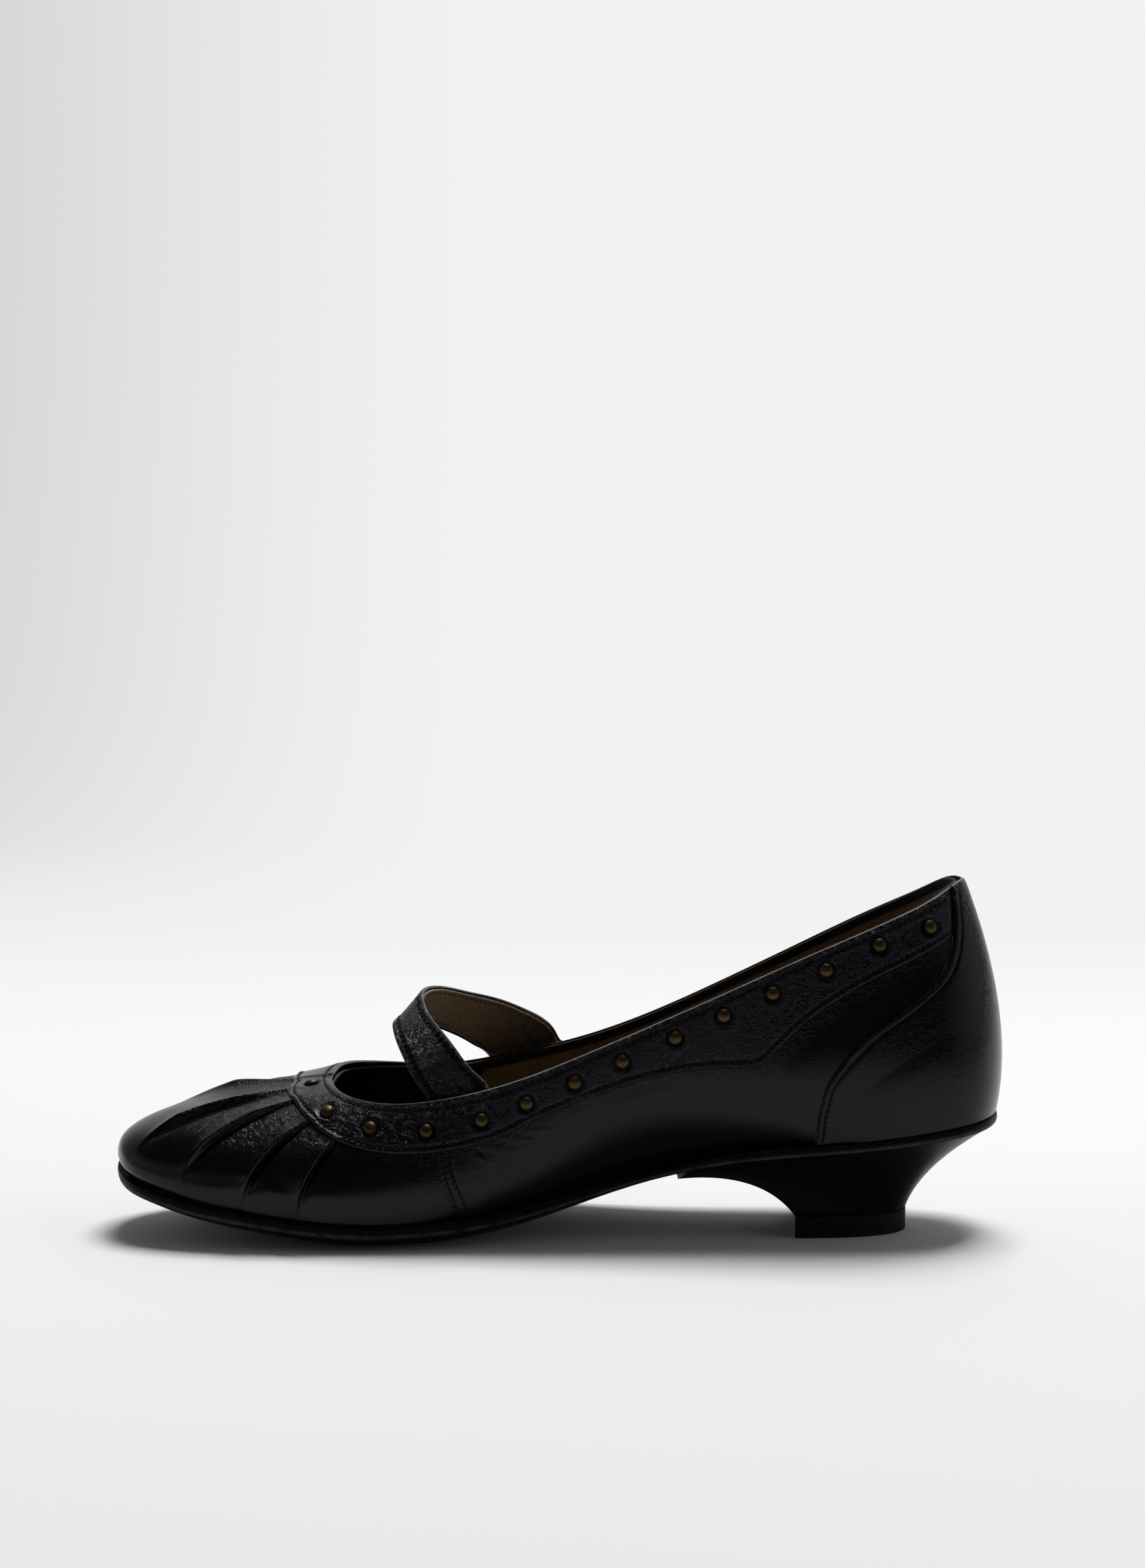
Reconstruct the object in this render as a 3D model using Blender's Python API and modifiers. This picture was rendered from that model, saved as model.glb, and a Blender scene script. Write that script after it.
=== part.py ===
"""Low-heeled strap shoe for the right foot, built up from its last.

The upper is one leather shell wound round the last: rays run from the feather line, where it meets
the sole, up and over to the topline, where the foot goes in. Band, heel counter, strap ends and
studs lie on that same surface, each at its own height above it. Shapes are worked out in
millimetres with x from the toe tip, and place() turns them into the model's frame: metres, +Z up,
toe at -X, the inner (medial) side at -Y, origin on the floor under the middle of the shoe.
"""

import bmesh
import bpy
import numpy as np
from mathutils import Matrix, Vector

# Driving dimensions, in millimetres
LENGTH = 250.0
MIDDLE_Y = 0.5
FIT_GAP = 0.3
CURVED_GAP = 0.4
UPPER_WALL = 1.8
PLEAT_HEIGHT = 1.5
BAND_THICKNESS = 1.0
COUNTER_THICKNESS = 1.0
STRAP_THICKNESS = 1.8
SOLE_RIM = 1.5
INSOLE_THICKNESS = 2.0
INSOLE_INSET = 2.6
INSOLE_GAP = 0.5
HEEL_INSET = 0.9
HEEL_FRONT_X_MEDIAL = 190.6
HEEL_FRONT_X_LATERAL = 192.8
HEEL_BACK_X = 222.9
HEEL_HALF_WIDTH = 19.0
HEEL_HOLLOW = 0.18
HEEL_HOLLOW_MORE_AT_FRONT = 0.11
HEEL_ROUNDNESS = 0.77
HEEL_BEND_AT_BACK = 0.50
HEEL_BEND_MORE_AT_FRONT = 0.66
HEEL_LIP_DROOP = 1.3
HEEL_LIP_DROOP_ENDS = 0.03
TOP_PIECE_HEIGHT = 6.0
STUD_RADIUS = 2.35
STUD_RISE = 1.5
STUDS_UNDER_STRAP = (21.7, 23.1)

# One row for each ray of the last, toe to heel, with x measured from the toe tip.
# The ray leaves the feather line with the low handle (out and up) and reaches the topline by the high
# handle: a share of the way back to the feather line, then so far out, then so far down.
RAY_COLUMNS = ("feather_x", "feather_y", "feather_z", "top_x", "top_y", "top_z",
               "low_out", "low_up", "high_share", "high_out", "high_down")
MEDIAL_RAYS = (
    (1.5, -2.0, 19.3, 60.5, -1.0, 41.8, 2.5, 15, 0.68, 0.0, 6.0),
    (4.5, -17.0, 17.6, 60.6, -3.4, 41.8, 3.0, 15, 0.67, 0.0, 6.0),
    (12.5, -26.0, 15.3, 61.1, -8.0, 41.7, 3.5, 15, 0.64, 0.0, 6.0),
    (26.0, -32.5, 12.3, 63.0, -15.8, 41.0, 3.5, 14, 0.57, 0.5, 6.3),
    (44.0, -36.3, 9.6, 68.2, -23.2, 39.8, 3.5, 14, 0.46, 1.0, 8.0),
    (66.0, -37.7, 7.3, 78.8, -28.3, 39.4, 3.5, 13, 0.33, 2.0, 10.0),
    (90.0, -35.2, 7.6, 93.0, -30.0, 41.2, 3.5, 13, 0.20, 2.5, 12.0),
    (113.0, -29.5, 10.3, 111.0, -30.0, 45.7, 4.0, 13, 0.10, 2.5, 13.0),
    (136.0, -24.3, 16.3, 131.0, -28.7, 53.2, 4.5, 14, 0.00, 2.5, 14.0),
    (158.0, -22.3, 21.9, 151.5, -26.9, 61.8, 5.0, 15, 0.00, 2.5, 14.0),
    (180.0, -23.7, 25.6, 172.0, -25.2, 70.7, 5.0, 17, 0.00, 2.5, 16.0),
    (201.0, -26.0, 27.9, 192.5, -23.6, 79.7, 5.0, 19, 0.00, 3.0, 18.0),
    (220.0, -26.6, 30.2, 211.5, -21.5, 87.7, 5.0, 21, 0.00, 3.5, 20.0),
    (236.0, -22.0, 32.3, 226.5, -16.5, 94.2, 5.0, 22, 0.00, 4.2, 21.0),
    (244.3, -12.5, 33.4, 234.8, -9.0, 98.6, 5.0, 22, 0.00, 6.0, 20.0),
    (247.0, 0.0, 33.7, 237.6, 0.0, 99.2, 4.8, 22, 0.00, 7.3, 19.0),
)
LATERAL_RAYS = (
    (4.5, 12.5, 17.6, 60.6, 1.6, 42.1, 3.0, 15, 0.67, 0.0, 6.0),
    (12.5, 22.5, 15.3, 61.1, 6.4, 42.5, 3.5, 15, 0.64, 0.0, 6.0),
    (26.0, 30.5, 12.3, 62.8, 14.8, 43.0, 3.5, 14, 0.57, 0.5, 6.3),
    (44.0, 36.0, 9.6, 67.8, 23.2, 42.6, 3.5, 14, 0.46, 1.0, 8.0),
    (66.0, 38.6, 7.3, 78.8, 29.2, 41.6, 3.5, 13, 0.33, 2.0, 10.0),
    (90.0, 38.5, 7.6, 93.0, 31.0, 41.3, 3.5, 13, 0.20, 2.5, 12.0),
    (113.0, 35.0, 10.3, 111.0, 31.0, 44.4, 4.0, 13, 0.10, 2.5, 13.0),
    (136.0, 31.0, 16.3, 131.0, 30.0, 49.3, 4.5, 14, 0.00, 2.5, 14.0),
    (158.0, 28.3, 21.9, 151.5, 28.3, 56.9, 5.0, 15, 0.00, 2.5, 14.0),
    (180.0, 27.7, 25.6, 172.0, 26.3, 66.5, 5.0, 17, 0.00, 2.5, 16.0),
    (201.0, 28.0, 27.9, 192.5, 24.2, 76.7, 5.0, 19, 0.00, 3.0, 18.0),
    (220.0, 27.4, 30.2, 211.5, 21.8, 86.2, 5.0, 21, 0.00, 3.5, 20.0),
    (236.0, 22.3, 32.3, 226.5, 17.0, 93.6, 5.0, 22, 0.00, 4.2, 21.0),
    (244.3, 12.7, 33.4, 234.8, 9.0, 98.5, 5.0, 22, 0.00, 6.0, 20.0),
)
HEEL_RAY = len(MEDIAL_RAYS) - 1
RAY_COUNT = 2 * HEEL_RAY


def periodic_spline(rows):
    """Second derivatives of the closed cubic spline through the rows, one knot apart."""
    count = len(rows)
    system = 4 * np.eye(count) + np.roll(np.eye(count), 1, axis=1) + np.roll(np.eye(count), -1, axis=1)
    bends = 6 * (np.roll(rows, -1, axis=0) - 2 * rows + np.roll(rows, 1, axis=0))
    return np.linalg.solve(system, bends)


RAYS = np.array(MEDIAL_RAYS + LATERAL_RAYS[::-1], dtype=float)
RAY_BENDS = periodic_spline(RAYS)


def ray_values(u):
    """The table's columns at ray number u, which runs 0 to 30 round the shoe, as a dict of arrays."""
    u = np.mod(np.asarray(u, dtype=float), RAY_COUNT)
    low = np.floor(u).astype(int) % RAY_COUNT
    high = (low + 1) % RAY_COUNT
    b = (u - np.floor(u))[..., None]
    a = 1 - b
    rows = a * RAYS[low] + b * RAYS[high]
    rows = rows + ((a**3 - a) * RAY_BENDS[low] + (b**3 - b) * RAY_BENDS[high]) / 6
    return dict(zip(RAY_COLUMNS, np.moveaxis(rows, -1, 0)))


def outward(u, name):
    """Horizontal unit vector pointing out of the closed line called name, feather or top, at ray u."""
    step = 0.01
    before = ray_values(np.asarray(u) - step)
    after = ray_values(np.asarray(u) + step)
    along_x = after[name + "_x"] - before[name + "_x"]
    along_y = after[name + "_y"] - before[name + "_y"]
    size = np.hypot(along_x, along_y)
    return np.stack([along_y / size, -along_x / size, 0 * size], axis=-1)


def last_point(u, t):
    """Point of the last's surface on ray u at height t, 0 at the feather line and 1 at the topline, in mm."""
    u, t = np.broadcast_arrays(np.asarray(u, dtype=float), np.asarray(t, dtype=float))
    v = ray_values(u)
    up = np.array([0.0, 0.0, 1.0])
    feather = np.stack([v["feather_x"], v["feather_y"], v["feather_z"]], axis=-1)
    top = np.stack([v["top_x"], v["top_y"], v["top_z"]], axis=-1)
    back = (feather - top) * [1, 1, 0]
    low = feather + v["low_out"][..., None] * outward(u, "feather") + v["low_up"][..., None] * up
    high = top + v["high_share"][..., None] * back + v["high_out"][..., None] * outward(u, "top")
    high = high - v["high_down"][..., None] * up
    b = t[..., None]
    a = 1 - b
    return a**3 * feather + 3 * a**2 * b * low + 3 * a * b**2 * high + b**3 * top


def surface(u, t, height=0.0):
    """Point so many millimetres above the last's surface, with pleats left out."""
    u, t = np.broadcast_arrays(np.asarray(u, dtype=float), np.asarray(t, dtype=float))
    step = 0.004
    along = last_point(u + step, t) - last_point(u - step, t)
    up = last_point(u, t + step) - last_point(u, t - step)
    normal = np.cross(along, up)
    normal /= np.linalg.norm(normal, axis=-1, keepdims=True)
    return last_point(u, t) + np.asarray(height)[..., None] * normal


def table_curve(table, at):
    """Smooth curve through a table of (where, value) rows, flat or straight where the rows are."""
    where, value = np.array(table, dtype=float).T
    slope = np.gradient(value, where)
    at = np.clip(at, where[0], where[-1])
    low = np.clip(np.searchsorted(where, at, side="right") - 1, 0, len(where) - 2)
    width = where[low + 1] - where[low]
    b = (at - where[low]) / width
    a = 1 - b
    rows = a**2 * (1 + 2 * b) * value[low] + b**2 * (1 + 2 * a) * value[low + 1]
    return rows + a * b * width * (a * slope[low] - b * slope[low + 1])


# Lower edge of the band: ray number out from the toe's middle, and height on the ray. It runs down to
# a corner on the quarter, then back up to the heel counter.
BAND_FRONT_EDGE = ((0.0, 0.905), (1.0, 0.890), (2.2, 0.855), (3.1, 0.812), (3.7, 0.750), (4.4, 0.655),
                   (5.1, 0.594), (6.0, 0.578), (6.7, 0.608), (7.4, 0.678), (8.3, 0.679),
                   (9.2, 0.622), (10.2, 0.500))
BAND_BACK_EDGE = ((10.2, 0.500), (10.9, 0.665), (11.6, 0.745), (12.6, 0.788), (13.5, 0.803))
BAND_CORNER = BAND_FRONT_EDGE[-1][0]

# Front edge of the heel counter: height on the ray, and ray number on the medial side.
COUNTER_EDGE = ((0.0, 10.72), (0.2, 10.85), (0.35, 11.07), (0.45, 11.40), (0.53, 11.80), (0.60, 12.40),
                (0.67, 13.00), (0.78, 13.47), (0.90, 13.72), (1.0, 13.85))

# Knife pleats, alike on both sides: ray number, height on the ray where it fades out below, share of
# the full pleat height.
PLEATS = ((1.28, 0.22, 0.9), (2.62, 0.14, 1.0), (3.68, 0.02, 1.0), (4.46, 0.04, 0.9))
PLEAT_RUN_UP = 5.0
PLEAT_STEP = 1.2
PLEAT_FADE = 0.12
PLEAT_TUCK = 0.06

# Columns of the shell beside a pleat, rows below the band's edge as shares of its height and rows
# from there to the topline, and the same for the counter.
PLEAT_COLUMNS = (-0.36, -0.10, 0.0, 0.10, 0.36)
LEAST_COLUMN_GAP = 0.07
LOWER_SHARES = (0, 0.07, 0.17, 0.30, 0.44, 0.58, 0.71, 0.83, 0.94, 1.0)
BAND_SHARES = (0, 0.34, 0.67, 1.0)
BAND_END_GAP = 0.06
BAND_END_LEAN_RAYS = (13.0, 13.45)
BAND_END_LEAN = (0.0, 1.0)
COUNTER_FOOT = 0.018
COUNTER_SHARES = (0, 0.10, 0.23, 0.38, 0.54, 0.70, 0.85, 1.0)
COUNTER_FRONT_COLUMNS = (10.76, 10.82, 10.92, 11.1, 11.35, 11.7)

# Sole, at ray numbers counted toe to heel: how far the middle hangs below the edge, the thickness, and
# how much thicker the middle is.
SOLE_CROWN = ((0, 0.0), (1, 1.0), (2, 2.2), (3, 3.3), (4, 4.0), (5, 4.4), (6, 4.4), (7, 3.7), (8, 2.8),
              (9, 1.6), (10, 0.5), (11, 0.0), (12, 0.0), (13, 0.0), (14, 0.0), (15, 0.0))
SOLE_THICKNESS = ((0, 2.8), (2, 3.0), (4, 3.2), (6, 3.2), (7, 2.7), (8, 2.4), (10, 2.5), (12, 2.8),
                  (14, 2.8), (15, 2.6))
SOLE_SWELL = ((0, 0.0), (2, 0.4), (4, 1.0), (5, 1.2), (6, 1.3), (7, 0.9), (8, 0.3), (9, 0.0), (15, 0.0))
HEEL_LIP_RAY = 8.99

# Where the sole's and insole's rows of points stand: ray numbers, and shares of the way across.
SOLE_RIBS = (0, 0.06, 0.2, 0.4, 0.7, *np.arange(1, 14.5, 0.5), 14.6, 14.85, 15.0)
SOLE_ACROSS = (0, 0.05, 0.14, 0.28, 0.5, 0.72, 0.86, 0.95, 1.0)
INSOLE_RIBS = (0, 0.15, 0.4, 0.7, *np.arange(1, 14.5, 0.75), 14.6, 14.85, 15.0)
INSOLE_ACROSS = (0, 0.1, 0.3, 0.5, 0.7, 0.9, 1.0)

# The heel's rings: turns round each side, shares across its front, and levels from foot to seat.
HEEL_TURNS = np.array((0, 0.03, *np.arange(1, 14) / 13))
HEEL_ACROSS = (0.12, 0.3, 0.5, 0.7, 0.88)
HEEL_LEVELS = (0, 0.15, 0.3, 0.45, 0.6, 0.75, 0.9, 1.0)

# Studs of the medial side, toe to heel: the ray each is on and how far it is below the topline.
# The lateral side mirrors them. Each dome is turned from a short outline.
STUD_PLACES = ((1.63, 6.0), (3.83, 8.0), (4.85, 8.4), (5.77, 8.5), (6.59, 8.0), (7.22, 7.0), (7.88, 6.5),
               (8.52, 6.2), (9.23, 6.0), (9.89, 5.9), (10.55, 5.9), (11.28, 6.0), (12.07, 5.4), (12.98, 6.9))
STUD_LINE_HEIGHTS = np.linspace(0.6, 1, 81)
STUD_PROFILE_STEPS = 3
STUD_TURN_STEPS = 8

# Strap: ends as (ray, height) of its front and rear edge on the wall, then its free run as points.
STRAP_INNER_END = (((5.85, 0.72), (6.62, 0.76)), ((5.78, 0.88), (6.66, 0.90)), ((5.72, 1.0), (6.70, 1.0)))
STRAP_FREE_RUN = (
    ((85.4, -27.0, 45.4), (101.1, -26.5, 48.6)),
    ((81.9, -25.0, 51.3), (95.1, -25.0, 56.1)),
    ((79.6, -21.5, 55.9), (90.4, -20.5, 61.0)),
    ((78.6, -16.5, 59.0), (87.4, -13.0, 64.8)),
    ((79.8, -9.5, 59.3), (87.3, -6.0, 67.9)),
    ((83.8, -2.0, 58.4), (91.9, 2.0, 67.9)),
    ((90.5, 6.0, 55.2), (99.6, 9.5, 65.2)),
    ((97.4, 15.0, 50.2), (108.9, 17.5, 61.3)),
    ((100.7, 23.5, 46.4), (117.0, 25.0, 56.7)),
    ((103.3, 32.3, 45.4), (123.2, 32.8, 52.4)),
)
STRAP_ACROSS = np.linspace(0, 1, 5)
STRAP_FINE_STEPS = 2
STRAP_OUTER_END = (((23.36, 0.97), (22.31, 1.0)), ((23.12, 0.86), (22.10, 0.94)),
                   ((22.82, 0.77), (21.85, 0.88)), ((22.52, 0.68), (21.62, 0.82)))


def band_edge(u):
    """Height on ray u of the band's lower edge."""
    out = np.minimum(np.mod(u, RAY_COUNT), RAY_COUNT - np.mod(u, RAY_COUNT))
    front = table_curve(BAND_FRONT_EDGE, out)
    back = table_curve(BAND_BACK_EDGE, out)
    return np.where(out < BAND_CORNER, front, back)


def pleat_height(u, t):
    """Height that the pleats add to the upper's outer face."""
    total = np.zeros(np.broadcast(u, t).shape)
    below_band = np.clip((band_edge(u) - t) / (PLEAT_TUCK * band_edge(u)), 0, 1)
    for ray, fade_out, share in PLEATS:
        for centre, towards_heel in ((ray, 1), (RAY_COUNT - ray, -1)):
            reach = np.linalg.norm(last_point(centre + 0.05, t) - last_point(centre - 0.05, t), axis=-1)
            away = np.mod(u - centre + HEEL_RAY, RAY_COUNT) - HEEL_RAY
            distance = towards_heel * away * reach / 0.1
            run_up = np.exp(np.minimum(distance, 0) / PLEAT_RUN_UP)
            step_down = 0.5 + 0.5 * np.cos(np.pi * np.clip(distance / PLEAT_STEP, 0, 1))
            fade = np.clip((t - fade_out) / PLEAT_FADE, 0, 1)
            total = np.maximum(total, share * fade * run_up * step_down)
    return PLEAT_HEIGHT * below_band * total


def sole_edge(u):
    """Horizontal place of the sole's edge on ray u."""
    v = ray_values(u)
    return np.stack([v["feather_x"], v["feather_y"]], axis=-1) + SOLE_RIM * outward(u, "feather")[..., :2]


SPREAD = np.linspace(0, HEEL_RAY, 601)
MEDIAL_EDGE = sole_edge(SPREAD)
LATERAL_EDGE = sole_edge(RAY_COUNT - SPREAD)
RIB_X = (MEDIAL_EDGE[:, 0] + LATERAL_EDGE[:, 0]) / 2


def sole_levels(x, y):
    """Heights of the sole's top and underside at a place; the tread is cut flat at the floor."""
    rib = np.interp(x, RIB_X, SPREAD)
    medial = np.interp(x, RIB_X, MEDIAL_EDGE[:, 1])
    lateral = np.interp(x, RIB_X, LATERAL_EDGE[:, 1])
    across = np.clip((y - medial) / np.maximum(lateral - medial, 1.0), 0, 1)
    middle = 1 - np.abs(2 * across - 1) ** 3
    top = ray_values(rib)["feather_z"] - FIT_GAP - middle * table_curve(SOLE_CROWN, rib)
    thickness = table_curve(SOLE_THICKNESS, rib) + middle * table_curve(SOLE_SWELL, rib)
    bottom = np.maximum(top - thickness, 0.0)
    return top, bottom


def place(points):
    """Millimetres from the toe tip, as the model's metres."""
    return (np.asarray(points) - [LENGTH / 2, MIDDLE_Y, 0.0]) / 1000.0


def material(name, colour, roughness, metallic=0.0):
    made = bpy.data.materials.new(name)
    made.use_nodes = True
    shader = made.node_tree.nodes["Principled BSDF"]
    shader.inputs["Base Color"].default_value = (*colour, 1.0)
    shader.inputs["Roughness"].default_value = roughness
    shader.inputs["Metallic"].default_value = metallic
    return made


def finish(name, bm, look, collection, sharp=0.6):
    """The bmesh as an object of the collection, shaded smooth but for edges over the sharp angle."""
    bmesh.ops.remove_doubles(bm, verts=bm.verts, dist=1e-7)
    bmesh.ops.dissolve_degenerate(bm, edges=bm.edges, dist=1e-7)
    bmesh.ops.recalc_face_normals(bm, faces=bm.faces)
    mesh = bpy.data.meshes.new(name)
    bm.to_mesh(mesh)
    bm.free()
    mesh.shade_smooth()
    mesh.set_sharp_from_angle(angle=sharp)
    mesh.materials.append(look)
    obj = bpy.data.objects.new(name, mesh)
    collection.objects.link(obj)
    return obj


def grid_faces(bm, grid, around):
    """Faces over a grid of vertices, joined end to end along its first side if around."""
    rows = len(grid)
    for i in range(rows if around else rows - 1):
        for j in range(len(grid[0]) - 1):
            after = (i + 1) % rows
            corners = (grid[i][j], grid[after][j], grid[after][j + 1], grid[i][j + 1])
            bm.faces.new(corners)


def slab(name, outer, inner, look, collection, around=False):
    """A sheet with thickness: two grids of points, face to face, closed along every free edge."""
    bm = bmesh.new()
    grids = []
    for points in (place(outer), place(inner)):
        grids.append([[bm.verts.new(point) for point in row] for row in points])
    grid_faces(bm, grids[0], around)
    grid_faces(bm, [row[::-1] for row in grids[1]], around)
    first = [[grids[0][i][0], grids[1][i][0]] for i in range(len(grids[0]))]
    last = [[grids[1][i][-1], grids[0][i][-1]] for i in range(len(grids[0]))]
    grid_faces(bm, first, around)
    grid_faces(bm, last, around)
    if not around:
        for row in (0, -1):
            rim = [[a, b] for a, b in zip(grids[0][row], grids[1][row])]
            grid_faces(bm, rim, False)
    return finish(name, bm, look, collection)


def shell_columns():
    """Rays that carry the upper's columns: close together at the pleats and round the heel."""
    regular = [*np.arange(0, 12, 0.5), *np.arange(12, HEEL_RAY, 0.25), BAND_CORNER]
    half = [u for u in regular if min(abs(u - ray) for ray, _, _ in PLEATS) > PLEAT_COLUMNS[-1]]
    half += [ray + shift for ray, _, _ in PLEATS for shift in PLEAT_COLUMNS]
    half = sorted(half)
    half = [u for u, before in zip(half, [-1.0, *half]) if u - before > LEAST_COLUMN_GAP]
    return np.array(half)


def lower_rows(u):
    return band_edge(u) * np.array(LOWER_SHARES)


def band_rows(u):
    edge = band_edge(u)
    return edge + (1 - edge) * np.array(BAND_SHARES)


def make_upper(look, collection):
    half = shell_columns()
    u = np.array([*half, HEEL_RAY, *(RAY_COUNT - half[:0:-1])])[:, None]
    t = np.concatenate([lower_rows(u), band_rows(u)[:, 1:]], axis=1)
    return slab("upper", surface(u, t, pleat_height(u, t)), surface(u, t, -UPPER_WALL), look, collection, True)


def counter_end(t):
    return table_curve(COUNTER_EDGE, t)


def make_counter(look, collection):
    """The counter wraps the heel: each of its columns is cut off at the front edge's height."""
    half = [*COUNTER_FRONT_COLUMNS, *(u for u in shell_columns() if u > COUNTER_FRONT_COLUMNS[-1])]
    u = np.array([*half, HEEL_RAY, *(RAY_COUNT - u for u in half[::-1])])[:, None]
    out = np.minimum(u, RAY_COUNT - u)
    fine = np.linspace(0, 1, 201)
    top = np.interp(out, counter_end(fine), fine)
    t = COUNTER_FOOT + (top - COUNTER_FOOT) * np.array(COUNTER_SHARES)
    base = CURVED_GAP
    return slab("heel_counter", surface(u, t, base + COUNTER_THICKNESS), surface(u, t, base), look, collection)


def make_band(look, collection):
    """The band runs from one edge of the counter round the throat to the other."""
    half = np.array([*(u for u in shell_columns() if u < BAND_END_LEAN_RAYS[-1])])
    half = np.append(half, BAND_END_LEAN_RAYS[-1])
    out = np.concatenate([-half[:0:-1], half])[:, None]
    t = band_rows(out)
    lean = np.interp(np.abs(out), BAND_END_LEAN_RAYS, BAND_END_LEAN)
    u = out + np.sign(out) * lean * (counter_end(t) - BAND_END_GAP - BAND_END_LEAN_RAYS[-1])
    base = CURVED_GAP
    return slab("collar_band", surface(u, t, base + BAND_THICKNESS), surface(u, t, base), look, collection)


def make_outsole(look, collection):
    rib = np.array(SOLE_RIBS)[:, None]
    across = np.array(SOLE_ACROSS)[None, :, None]
    medial = sole_edge(rib)
    lateral = sole_edge(RAY_COUNT - rib)
    plan = medial * (1 - across) + lateral * across
    top, bottom = sole_levels(plan[..., 0], plan[..., 1])
    upper_face = np.concatenate([plan, top[..., None]], axis=-1)
    lower_face = np.concatenate([plan, bottom[..., None]], axis=-1)
    return slab("outsole", upper_face, lower_face, look, collection)


def make_insole(look, collection):
    rib = np.array(INSOLE_RIBS)[:, None]
    across = np.array(INSOLE_ACROSS)[None, :, None]
    inset = (SOLE_RIM + INSOLE_INSET) * outward(rib, "feather")[..., :2]
    other_inset = (SOLE_RIM + INSOLE_INSET) * outward(RAY_COUNT - rib, "feather")[..., :2]
    plan = (sole_edge(rib) - inset) * (1 - across) + (sole_edge(RAY_COUNT - rib) - other_inset) * across
    level = sole_levels(plan[..., 0], plan[..., 1])[0] + INSOLE_GAP
    lower_face = np.concatenate([plan, level[..., None]], axis=-1)
    upper_face = lower_face + [0, 0, INSOLE_THICKNESS]
    return slab("insole", upper_face, lower_face, look, collection)


def heel_outline(side):
    """One side of the heel's D-shaped foot, front corner to middle of the back, medial at -1."""
    angle = HEEL_TURNS * np.pi / 2
    front_x = HEEL_FRONT_X_MEDIAL if side < 0 else HEEL_FRONT_X_LATERAL
    x = front_x + (HEEL_BACK_X - front_x) * np.sin(angle) ** HEEL_ROUNDNESS
    y = side * HEEL_HALF_WIDTH * np.abs(np.cos(angle)) ** HEEL_ROUNDNESS
    return np.stack([x, y], axis=-1)


def seat_line(turns, side):
    """Plan of the heel's seat under the sole's edge, on the medial side at -1 or the lateral at 1."""
    rib = HEEL_LIP_RAY + (HEEL_RAY - HEEL_LIP_RAY) * turns
    ray = rib if side < 0 else RAY_COUNT - rib
    return sole_edge(ray) - HEEL_INSET * outward(ray, "feather")[..., :2]


def heel_ring(level):
    """One ring of the heel, by a hollow curve from its foot at level 0 to the seat at level 1.

    It runs back along the medial side, forward along the lateral one, and across the front.
    """
    turns = HEEL_TURNS
    medial_foot, lateral_foot = heel_outline(-1), heel_outline(1)
    medial_seat, lateral_seat = seat_line(turns, -1), seat_line(turns, 1)
    across = np.array(HEEL_ACROSS)[::-1, None]
    front_foot = medial_foot[0] * (1 - across) + lateral_foot[0] * across
    front_seat = medial_seat[0] * (1 - across) + lateral_seat[0] * across
    foot = np.concatenate([medial_foot, lateral_foot[-2::-1], front_foot])
    seat = np.concatenate([medial_seat, lateral_seat[-2::-1], front_seat])
    turn = np.concatenate([turns, turns[-2::-1], np.zeros(len(HEEL_ACROSS))])
    at_front = (1 - turn) ** 4
    bend = foot + (HEEL_HOLLOW + HEEL_HOLLOW_MORE_AT_FRONT * at_front)[:, None] * (seat - foot)
    droop = HEEL_LIP_DROOP * np.clip(1 - turn / HEEL_LIP_DROOP_ENDS, 0, 1)
    seat_z = sole_levels(seat[:, 0], seat[:, 1])[1] - CURVED_GAP - droop
    foot_z = TOP_PIECE_HEIGHT + FIT_GAP
    bend_share = HEEL_BEND_AT_BACK + HEEL_BEND_MORE_AT_FRONT * at_front
    bend_z = foot_z + bend_share * (seat_z - foot_z)
    a, b = 1 - level, level
    plan = a**2 * foot + 2 * a * b * bend + b**2 * seat
    z = a**2 * foot_z + 2 * a * b * bend_z + b**2 * seat_z
    return np.concatenate([plan, z[:, None]], axis=-1)


def seat_faces(bm, ring):
    """Close the heel's top by ribs across it that follow the sole's underside."""
    sides = len(HEEL_TURNS)
    medial, lateral = seat_line(HEEL_TURNS, -1), seat_line(HEEL_TURNS, 1)
    rows = [[ring[0], *ring[:2 * sides - 2:-1], ring[2 * sides - 2]]]
    for i in range(1, sides - 1):
        plan = [medial[i] * (1 - share) + lateral[i] * share for share in HEEL_ACROSS]
        inner = [(x, y, sole_levels(x, y)[1] - CURVED_GAP) for x, y in plan]
        inner = [bm.verts.new(point) for point in place(inner)]
        rows.append([ring[i], *inner, ring[2 * sides - 2 - i]])
    grid_faces(bm, rows, False)
    for before, after in zip(rows[-1], rows[-1][1:]):
        bm.faces.new((before, ring[sides - 1], after))


def make_heel(look, collection):
    bm = bmesh.new()
    rings = []
    for level in HEEL_LEVELS:
        points = place(heel_ring(level))
        rings.append([bm.verts.new(point) for point in points])
    for low, high in zip(rings, rings[1:]):
        grid_faces(bm, [[a, b] for a, b in zip(low, high)], True)
    bm.faces.new(rings[0])
    seat_faces(bm, rings[-1])
    return finish("heel_block", bm, look, collection)


def make_top_piece(look, collection):
    """The wearing piece under the heel: the heel's outline, drawn up by the piece's height."""
    outline = np.array([*heel_outline(-1), *heel_outline(1)[-2::-1]])
    bm = bmesh.new()
    ring = [bm.verts.new(point) for point in place(np.insert(outline, 2, 0.0, axis=1))]
    face = bm.faces.new(ring)
    drawn = bmesh.ops.extrude_face_region(bm, geom=[face])
    verts = [item for item in drawn["geom"] if isinstance(item, bmesh.types.BMVert)]
    bmesh.ops.translate(bm, verts=verts, vec=Vector((0, 0, TOP_PIECE_HEIGHT / 1000.0)))
    return finish("top_piece", bm, look, collection)


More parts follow.
